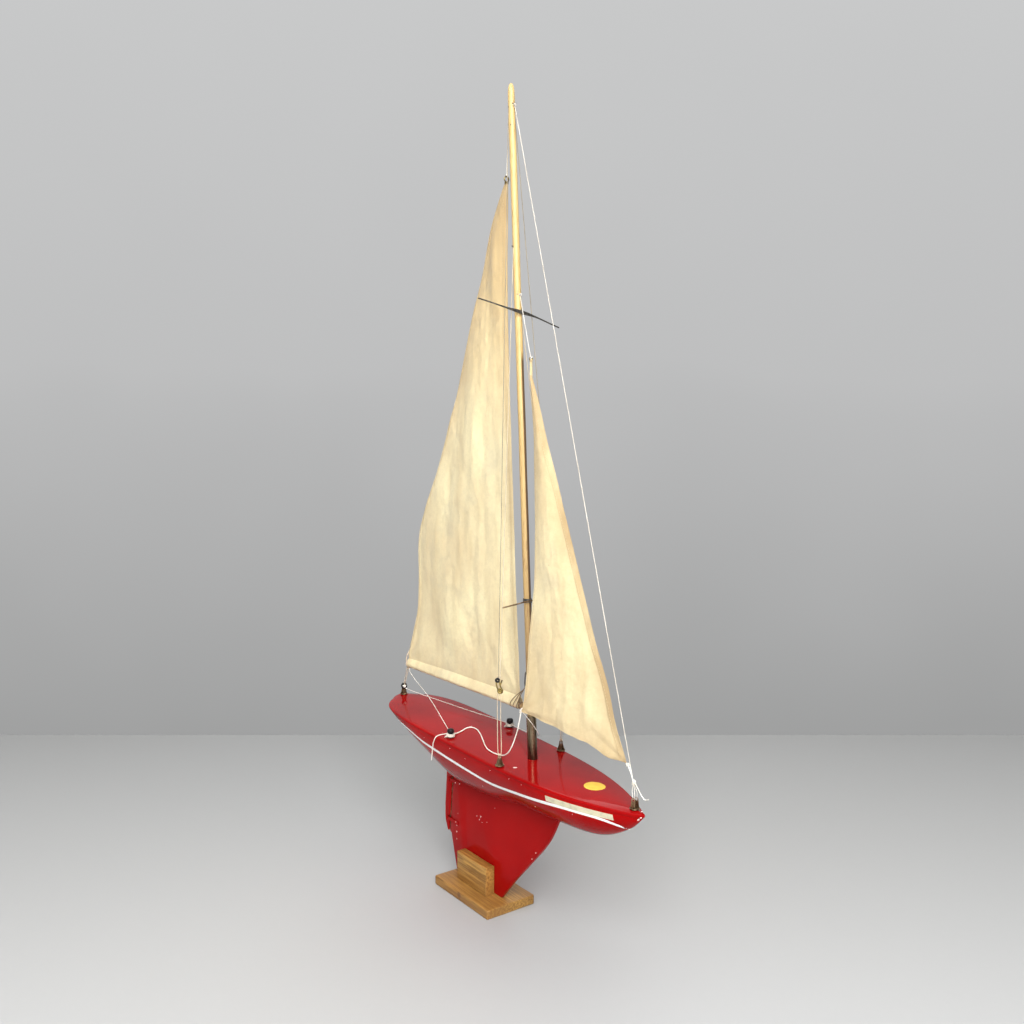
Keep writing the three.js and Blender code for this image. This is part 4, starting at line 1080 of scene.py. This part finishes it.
def sail(body, luff, leech, shape, rows, inside, hems, foot_hem, dirt_and_shade):
    """A sail between two edge curves (share up the sail to a point), with doubled hems and stitching.

    The last argument is how brown the leech, the luff and its hem, the foot, the head and all of it are:
    dirt, and painted shade along the edges, hems and foot."""
    shares = np.concatenate([[0, 0.0005], np.linspace(0.002, 1, rows)])
    points, to_edge = [], []
    for s in shares:
        a, b = np.asarray(leech(s)), np.asarray(luff(s))
        width = max(np.linalg.norm(b - a), 1.2)
        t = hem_columns(width, *hems, inside)
        points.append([shape(p, s, k) for p, k in zip(a + (b - a) * t[:, None], t)])
        to_edge.append(np.column_stack([t * width, (1 - t) * width]))
    points, to_edge = np.asarray(points), np.asarray(to_edge)
    normal = np.cross(np.gradient(points, axis=0), np.gradient(points, axis=1))
    normal = normal / np.maximum(np.linalg.norm(normal, axis=2), 1e-9)[..., None]
    up = np.linalg.norm(points - points[0], axis=2)
    folded = np.zeros(points.shape[:2])
    folded[:, :5] = folded[:, -5:] = 1
    if foot_hem:
        folded[up < foot_hem] = 1
    half = (CLOTH / 2 * (1 + 0.9 * folded))[..., None]
    front, back = points + normal * half, points - normal * half
    made = piece(body + "_cloth", thick_sheet(front, back), cotton, body, 50, body)
    # Painted shade darkens the cloth near the leech, the luff and the foot, and along the hem folds. The
    # browning near the head is dirt.
    browning = dirt_and_shade["leech"] * np.exp(-to_edge[..., 0] / 9) + dirt_and_shade["luff"] * np.exp(-to_edge[..., 1] / 10)
    browning += dirt_and_shade["foot"] * np.exp(-up / 12) + dirt_and_shade["head"] * np.clip(shares * 2 - 1, 0, 1)[:, None] ** 1.5
    browning[:, -6:] += dirt_and_shade["hem"]
    browning += dirt_and_shade["all"]
    browning[:, [2, 3, 4, -5, -4, -3]] += 0.3
    store_browning(made, points, np.clip(browning, 0, 1))
    seams = []
    for lifted in (front + normal * 0.12, back - normal * 0.12):
        seams += [lifted[:, -4], lifted[:, 3]]
        if foot_hem:
            row = int(np.argmin(np.abs(up[:, up.shape[1] // 2] - foot_hem * 0.86)))
            seams.append(lifted[row, 4:-4])
    stitching = joined(*[dash for line in seams for dash in stitches(line)])
    piece(body + "_cloth_stitching", stitching, thread, sharp=60, body=body)
    a, b = points[1:, :-1] - points[:-1, :-1], points[:-1, 1:] - points[:-1, :-1]
    return made, float(np.linalg.norm(np.cross(a, b), axis=2).sum())


def stitches(line):
    run = even_steps(line, 3.4)
    for a, b in zip(run[2:-3], run[3:-2]):
        way = (b - a) / np.linalg.norm(b - a)
        path = np.array([(a + b) / 2 + way * 2.2 * k for k in (-0.5, -0.35, 0, 0.35, 0.5)])
        yield tube(path, np.array([0.35, 0.85, 1, 0.85, 0.35]) * 0.2, 6)


def soft(x, z, scale, seed, stretch=1.0):
    return noise.noise(Vector((x / scale, z / (scale * stretch), seed)))


def rays(p, corner, count, reach, seed):
    """Creases that spread from a corner and die out with distance."""
    dx, dz = p[0] - corner[0], p[2] - corner[1]
    far = math.hypot(dx, dz)
    angle = math.atan2(dz, dx)
    crease = math.sin(count * angle + 2.2 * noise.noise(Vector((angle * 3, seed, 0))))
    return crease * math.exp(-far / reach) * (1 - math.exp(-far / 6))


def edge(low, high, x_at, y_at=lambda z: 0):
    """A sail's edge from its share of the height, for curves that give x and y at a height."""
    def point(s):
        z = low + (high - low) * s
        return np.array([x_at(z), y_at(z), z])

    return point


def boom_z(x):
    return on_line(BOOM_AFT, BOOM_FORE, x, X, Z)


def sleeve_top(x):
    return boom_z(x) + 8.2 + 3.2 * np.clip((x + 190) / 120, 0, 1)


def foot_sleeve():
    """The cloth sleeve round the boom at the mainsail's foot, and its row of stitches on each side."""
    outer, hollow = [], []
    for x in np.linspace(-190.2, 81.8, 110):
        rise = sleeve_top(x) - boom_z(x)
        for store, r, gap in ((outer, BOOM_RADIUS + 0.75, 0.75), (hollow, BOOM_RADIUS + 0.2, 0.28)):
            lean = math.acos(r / rise)
            shoulder = (gap + r * math.sin(lean)) * 0.62
            shoulder_z = boom_z(x) + rise - 0.45 * (rise - r * math.cos(lean))
            ring = [(x, gap, boom_z(x) + rise), (x, shoulder, shoulder_z)]
            for a in np.linspace(math.pi / 2 - lean, math.pi / 2 - lean - (TAU - 2 * lean), 25):
                slack = 0.28 * soft(x, a * 9, 9, 2.0) + 0.18 * math.sin(x / 3.1 + 2 * soft(x, 0, 25, 8))
                ring.append((x, (r + slack) * math.cos(a), boom_z(x) + (r + slack) * math.sin(a)))
            store.append(ring + [(x, -shoulder, shoulder_z), (x, -gap, boom_z(x) + rise)])
    sleeve = piece("mainsail_foot_sleeve", thick_sheet(outer, hollow), cotton, sharp=50, body="mainsail")
    ring = np.asarray(outer)
    # below paints shade on the sleeve's underside. The sleeve is also darker towards both ends.
    below = np.clip((boom_z(ring[..., X]) - ring[..., Z]) / BOOM_RADIUS, 0, 1)
    ends = np.exp(-(ring[..., X] + 190) / 6) + np.exp(-(82 - ring[..., X]) / 9)
    store_browning(sleeve, ring, np.clip(0.65 * below + 0.5 * ends, 0, 1))
    dashes = [dash for side, lift in ((0, 0.15), (-1, -0.15))
              for dash in stitches(ring[:, side] + (0, lift, -1.0))]
    return sleeve, piece("mainsail_foot_stitching", joined(*dashes), thread, sharp=60, body="mainsail")


def boom():
    """The boom, its lashings and the ring at the mainsail's head."""
    way = BOOM_FORE - BOOM_AFT
    length = np.linalg.norm(way)
    dowel = [(0.6, 0), (2.4, 0.25), (3.4, 1.0), (3.7, 2.4)]
    dowel += [(3.7, h) for h in np.linspace(6, length - 6, 40)]
    dowel += [(3.7, length - 2.0), (3.3, length - 0.8), (2.2, length - 0.15), (0.5, length)]
    piece("boom_dowel", spun(dowel, 32, BOOM_AFT, way), mast_pine, "boom", 40, "mainsail")
    ring = [tube(coil((53, 0, 918), 3.1, 1.15, 0.5, axis="x"), 0.75, 10),
            tube(coil((53, 0, 913.6), 2.0, 3.2, 2.6), 0.5, 8)]
    piece("main_head_ring", joined(*ring), brass, "main_head_hook", 60, "mainsail")
    lashing = [rope([
        (66 + 6.4 * k, 1.5, 271.2), (66.6 + 6.4 * k, -4.6, 273.4), (69 + 6.4 * k, -5.2, 279),
        (81 + 3.0 * k, -3.4, 291), (90 + 0.4 * k, -1.2 + 0.9 * k, 298 + 1.6 * k)], 1.15) for k in range(3)]
    lashing.append(tube(coil((84.4, 0, 276.3), 4.3, 3, 3.2, axis="x"), 0.55, 8, 3))
    cord_piece("boom_fore_lashing", lashing, "boom_lashing", dark_twine, "mainsail")
    half = [(-190.6, 4.4, 272), (-191.6, 3.6, 280), (-190.8, 1.8, 289)]
    loop = [(x, -y, z) for x, y, z in half] + [(-190.4, 0, 291.5)] + half[::-1]
    cord_piece("boom_aft_lashing", [tube(coil((-188.6, 0, 274), 5.0, 2.3, 2.6, axis="x"), 0.55, 8, 3),
                                    rope(loop, 1.5)], None, tan_twine, "mainsail")


def mainsail():
    leech_x = curve_through([
        (281, -189.5), (292, -190.2), (307, -182.5), (343, -168.5), (366, -161.5), (402, -159), (448, -160.5),
        (476, -155), (510, -137), (557, -109), (617, -79), (707, -43), (784, -12), (825, 5.5), (869, 24),
        (913, 50.5)])
    luff_x = curve_through([
        (284, 81.2), (308, 80), (358, 75.7), (432, 70.4), (495, 68), (590, 64), (660, 60), (730, 57),
        (798, 55.5), (912, 55.8)])
    foot_aft, foot_fore, head = sleeve_top(-189) - 1.6, sleeve_top(81) - 1.6, 912.5

    def shape(p, s, t):
        p = np.array(p, float)
        inside = math.sin(math.pi * t)
        belly = 6.5 * inside * math.sin(math.pi * min(s * 0.85 + 0.1, 1))
        loose = min(1, 12 * s) * min(1, 6 * (1 - s)) * (0.25 + 0.75 * inside)
        folds = 4.2 * soft(p[0], p[2], 36, 1.5, 4.5) + 1.5 * soft(p[0], p[2], 14, 4.5, 3.0)
        small = 0.55 * soft(p[0], p[2], 6, 9.0, 1.6)
        creases = 1.5 * rays(p, (-190, 276), 11, 60, 2) + 1.3 * rays(p, (82, 280), 12, 50, 5)
        curl = 2.4 * math.exp(-t * 9) * soft(0, p[2], 60, 3.3)
        pucker = 0.5 * math.exp(-s * 60) * math.sin(p[0] / 2.9 + 2 * soft(p[0], 0, 22, 6))
        p[1] -= (belly * min(1, 8 * s + 0.05) + loose * (folds + small) + creases * min(1, 30 * s)
                 + curl * min(1, 9 * s) - pucker * min(1, 60 * s))
        return p

    cloth, area = sail(
        "mainsail", edge(foot_fore, head, luff_x), edge(foot_aft, head, leech_x), shape, 210, 56,
        (7.0, 3.6), 0,
        {"leech": 0.5, "luff": 0.4, "hem": 0.12, "foot": 0.4, "head": 0.5, "all": 0.0})
    sleeve, dashes = foot_sleeve()
    area += 26 * 272
    boom()


def jib():
    luff_x = curve_through([
        (257.5, 274.3), (265, 271.6), (300, 256), (338, 243), (379, 223.5), (449, 196), (488, 181),
        (527, 165), (570, 148.6), (610, 132.3), (650, 117.6), (682, 104.2)])
    leech_x = curve_through([
        (280, 114.5), (300, 118), (330, 120.6), (377, 122.4), (414, 124.5), (440, 125.4), (501, 122.6),
        (546, 119), (603, 114), (650, 107.5), (682, 101.6)])
    leech_y = curve_through([
        (280, -22.5), (300, -21), (330, -18.7), (377, -15.8), (440, -11.7), (501, -8.6), (546, -6.5),
        (603, -4), (650, -2.3), (682, -0.6)])

    def shape(p, s, t):
        p = np.array(p, float)
        inside = math.sin(math.pi * t)
        foot = math.exp(-s * 14)
        p[2] += foot * (2.4 * math.sin(math.pi * t) - 4.6 * math.exp(-((t - 0.86) / 0.09) ** 2) * 0.7)
        belly = 7.0 * inside * math.sin(math.pi * min(s * 0.85 + 0.12, 1))
        loose = min(1, 6 * (1 - s)) * (0.2 + 0.8 * inside)
        folds = 3.4 * soft(p[0], p[2], 28, 11.5, 3.4) + 1.2 * soft(p[0], p[2], 11, 14.5, 2.4)
        small = 0.5 * soft(p[0], p[2], 5, 19.0, 1.5)
        creases = 1.6 * rays(p, (114.5, 281), 9, 60, 12) + 1.0 * rays(p, (274, 258), 11, 45, 15)
        head = 1.2 * math.sin(t * 9 + 1) * math.exp(-(1 - s) * 9)
        flutter = 0.8 * math.exp(-s * 26) * math.sin(p[0] / 7.5 + 1.6 * soft(p[0], 0, 30, 16))
        p[1] -= belly + loose * (folds + small) + creases + flutter - head * inside
        return p

    # The last table's 'all' darkens the whole jib: painted shade, since the jib takes more of the lamps'
    # light than the mainsail.
    cloth, area = sail(
        "jib", edge(257.5, 682, luff_x), edge(280, 682, leech_x, leech_y), shape, 150, 46, (6.6, 3.2), 6.4,
        {"leech": 0.35, "luff": 0.5, "hem": 0.45, "foot": 0.35, "head": 0.6, "all": 0.32})
    gather = [
        tube(coil((102.4, 0, 699.4), 1.5, 3, 3.0), 0.5, 8, 3),
        rope([(103.2, 0.4, 674), (102.8, 0.6, 690), (102.4, 0.4, 700)], 2.3),
        rope([(102.0, -0.6, 676), (102.1, -0.6, 690), (102.2, -0.4, 700)], 2.3)]
    cord_piece("jib_head_tie", gather, None, gold_twine, "jib")
    ring = tube(coil((102.3, 0, 701.4), 2.2, 1.12, 0.4, axis="x"), 0.6, 10)
    piece("jib_head_ring", ring, brass, "jib_head_hook", 60, "jib")
    clew = [knot((113.8, -22.7, 280.4), 4.6, 1.3, 0.4),
            tube(coil((115.4, -22.3, 282.2), 2.2, 1.6, 1.0, axis="x"), 0.6, 8, 3)]
    cord_piece("jib_clew_knot", clew, body="jib")
    cord_piece("jib_tack_knot", [knot((276.6, 0, 256.4), 4.2, 1.2, 0.9)], body="jib")


# ---- stand --------------------------------------------------------------------------------
def board(name, node, low, high, flat, radius, steps, edge_radius, edge_steps, wear, seed):
    """An oak board between two corners; flat is Z if it lies and Y if it stands."""
    across = Y if flat == Z else Z
    corners = [(low[X], low[across]), (high[X], low[across]), (high[X], high[across]), (low[X], high[across])]
    middle = (low[flat] + high[flat]) / 2

    def place(a, b, level):
        return (a, b, middle + level) if flat == Z else (a, middle + level, b)

    outline = resampled(rounded_outline(corners, radius, steps), 4)
    points, faces = rounded_plate(outline, (high[flat] - low[flat]) / 2, edge_radius, place, edge_steps)
    for p in points:
        p += wear * np.array(noise.noise_vector(Vector(p * 0.06) + Vector((seed, 0, 0))))
        p[Z] = max(p[Z], 0.0)
    piece(name, (points, faces), oak, node, 45, "stand")


def stand():
    board("stand_foot_board", "stand_base", *box_of("stand_base"), Z, 2.6, 5, 1.7, 5, 0.22, 1)
    for side in SIDES:
        low, high = box_of("stand_cheek_" + side)
        low[Z] -= 0.3
        board("stand_cheek_block_" + side, "stand_cheek_" + side, low, high, Y, 0.8, 4, 0.9, 4, 0.2, 5)


def dress_frame():
    """Finishes for the CAD nodes that stay visible."""
    finishes = {"keel_ballast": lead, "mast_step_block": inner}
    for name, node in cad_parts.items():
        if node.type == "MESH" and not node.hide_render:
            node.data.materials.clear()
            node.data.materials.append(finishes.get(name, dark if name.startswith("mast_pin") else aged))


# ---- room and lights ------------------------------------------------------------------------
AHEAD = Vector((-math.sin(math.radians(CAMERA_TURN)), math.cos(math.radians(CAMERA_TURN)), 0))
ASIDE = Vector((AHEAD.y, -AHEAD.x, 0))
UP = Vector((0, 0, 1))
TABLE_END = Vector((*CAMERA_AT[:2], 0)) + AHEAD * 1.949


def table_paint():
    """Matt pale paint, greyer towards the table's far edge with painted shade."""
    f = Finish("table_paint", Roughness=0.75)
    from_end = -TABLE_END.dot(AHEAD)
    # far paints shade that deepens towards the table's far edge.
    far = f.span(f.measure("DOT_PRODUCT", tuple(-AHEAD)), from_end, from_end + 1.1, 0.8, 0.0)
    plain = f.mix(f.noise(0.9, 2, 0.5), (0.5, 0.5, 0.495), (0.475, 0.475, 0.47))
    f.set(Base_Color=f.mix(far, plain, (0.29, 0.29, 0.286)), Normal=f.bump(f.noise(60, 3, 0.6), 0.3))
    return f.material


def glowing_backdrop():
    """Backing paper that glows as painted light, dimmer towards its foot and brighter towards its top."""
    f = Finish("glowing_backdrop", Roughness=1.0, Base_Color=(0.02, 0.02, 0.02), Emission_Strength=1.0)
    height = f.math("ADD", f.axis("Z"), f.span(f.noise(0.6, 2, 0.5), 0.3, 0.7, -0.15, 0.15))
    # The glow is painted light: dimmer near the foot, brighter towards the top.
    lower = f.tones(height, -1.3, 0.9, (0.34, 0.342, 0.341), (0.5, 0.502, 0.504))
    f.set(Emission_Color=f.tones(height, 0.7, 3.0, lower, (0.57, 0.574, 0.576)))
    return f.material


def stage_mesh(name, corners, faces, finish):
    mesh = bpy.data.meshes.new(name)
    mesh.from_pydata([tuple(c) for c in corners], [], faces)
    mesh.materials.append(finish)
    obj = linked(name, mesh)
    return obj


def room():
    """A table that ends behind the boat, and glowing backing paper well beyond it on every side."""
    top = [TABLE_END + ASIDE * a - AHEAD * b for a, b in ((-3.6, 0), (3.6, 0), (3.6, 3.5), (-3.6, 3.5))]
    rims = [[k, k + 4, (k + 1) % 4 + 4, (k + 1) % 4] for k in range(4)]
    below = [c - UP * 0.05 for c in top]
    stage_mesh("table", top + below, [[0, 1, 2, 3], [7, 6, 5, 4]] + rims, table_paint())
    corners = [TABLE_END + ASIDE * a + AHEAD * b for a, b in ((-9, 4), (9, 4), (9, -11), (-9, -11))]
    paper = glowing_backdrop()
    for k, name in enumerate(("backing_far", "backing_right", "backing_near", "backing_left")):
        a, b = corners[k], corners[(k + 1) % 4]
        sheet = stage_mesh(name, [a - UP * 4, b - UP * 4, b + UP * 8, a + UP * 8], [[0, 1, 2, 3]], paper)
        # Only the far sheet's glow lights the boat and shows in its reflections.
        sheet.visible_diffuse = sheet.visible_glossy = k == 0


def lights():
    for name, offset, size, power in (
            ("key", -AHEAD * 2.3 + ASIDE * 0.1 + UP * 1.4, 1.9, 122),
            ("fill", -AHEAD * 1.3 - ASIDE * 2.1 + UP * 1.7, 2.2, 11),
            ("top", -AHEAD * 0.3 + UP * 2.7, 2.4, 36),
            ("rear", AHEAD * 2.0 + UP * 2.3, 2.0, 22)):
        data = bpy.data.lights.new(name, "AREA")
        data.size = size
        data.energy = power
        lamp = linked(name, data)
        lamp.location = UP * 0.45 + offset
        lamp.rotation_euler = (-offset).to_track_quat("-Z", "Y").to_euler()
        lamp.visible_camera = False
    world = bpy.data.worlds.new("studio")
    world.use_nodes = True
    background = world.node_tree.nodes["Background"]
    background.inputs["Color"].default_value = (0.92, 0.96, 1.0, 1)
    background.inputs["Strength"].default_value = 0.1
    bpy.context.scene.world = world


free_cords()
forestay()
for side, sign in SIDES.items():
    shrouds(side, sign)
bow_lashing()
running_cords()
hull()
deck()
hull_trim()
keel()
paint_chips()
rudder()
mast()
spreaders()
deck_fittings()
mainsail()
jib()
stand()
dress_frame()
room()
lights()
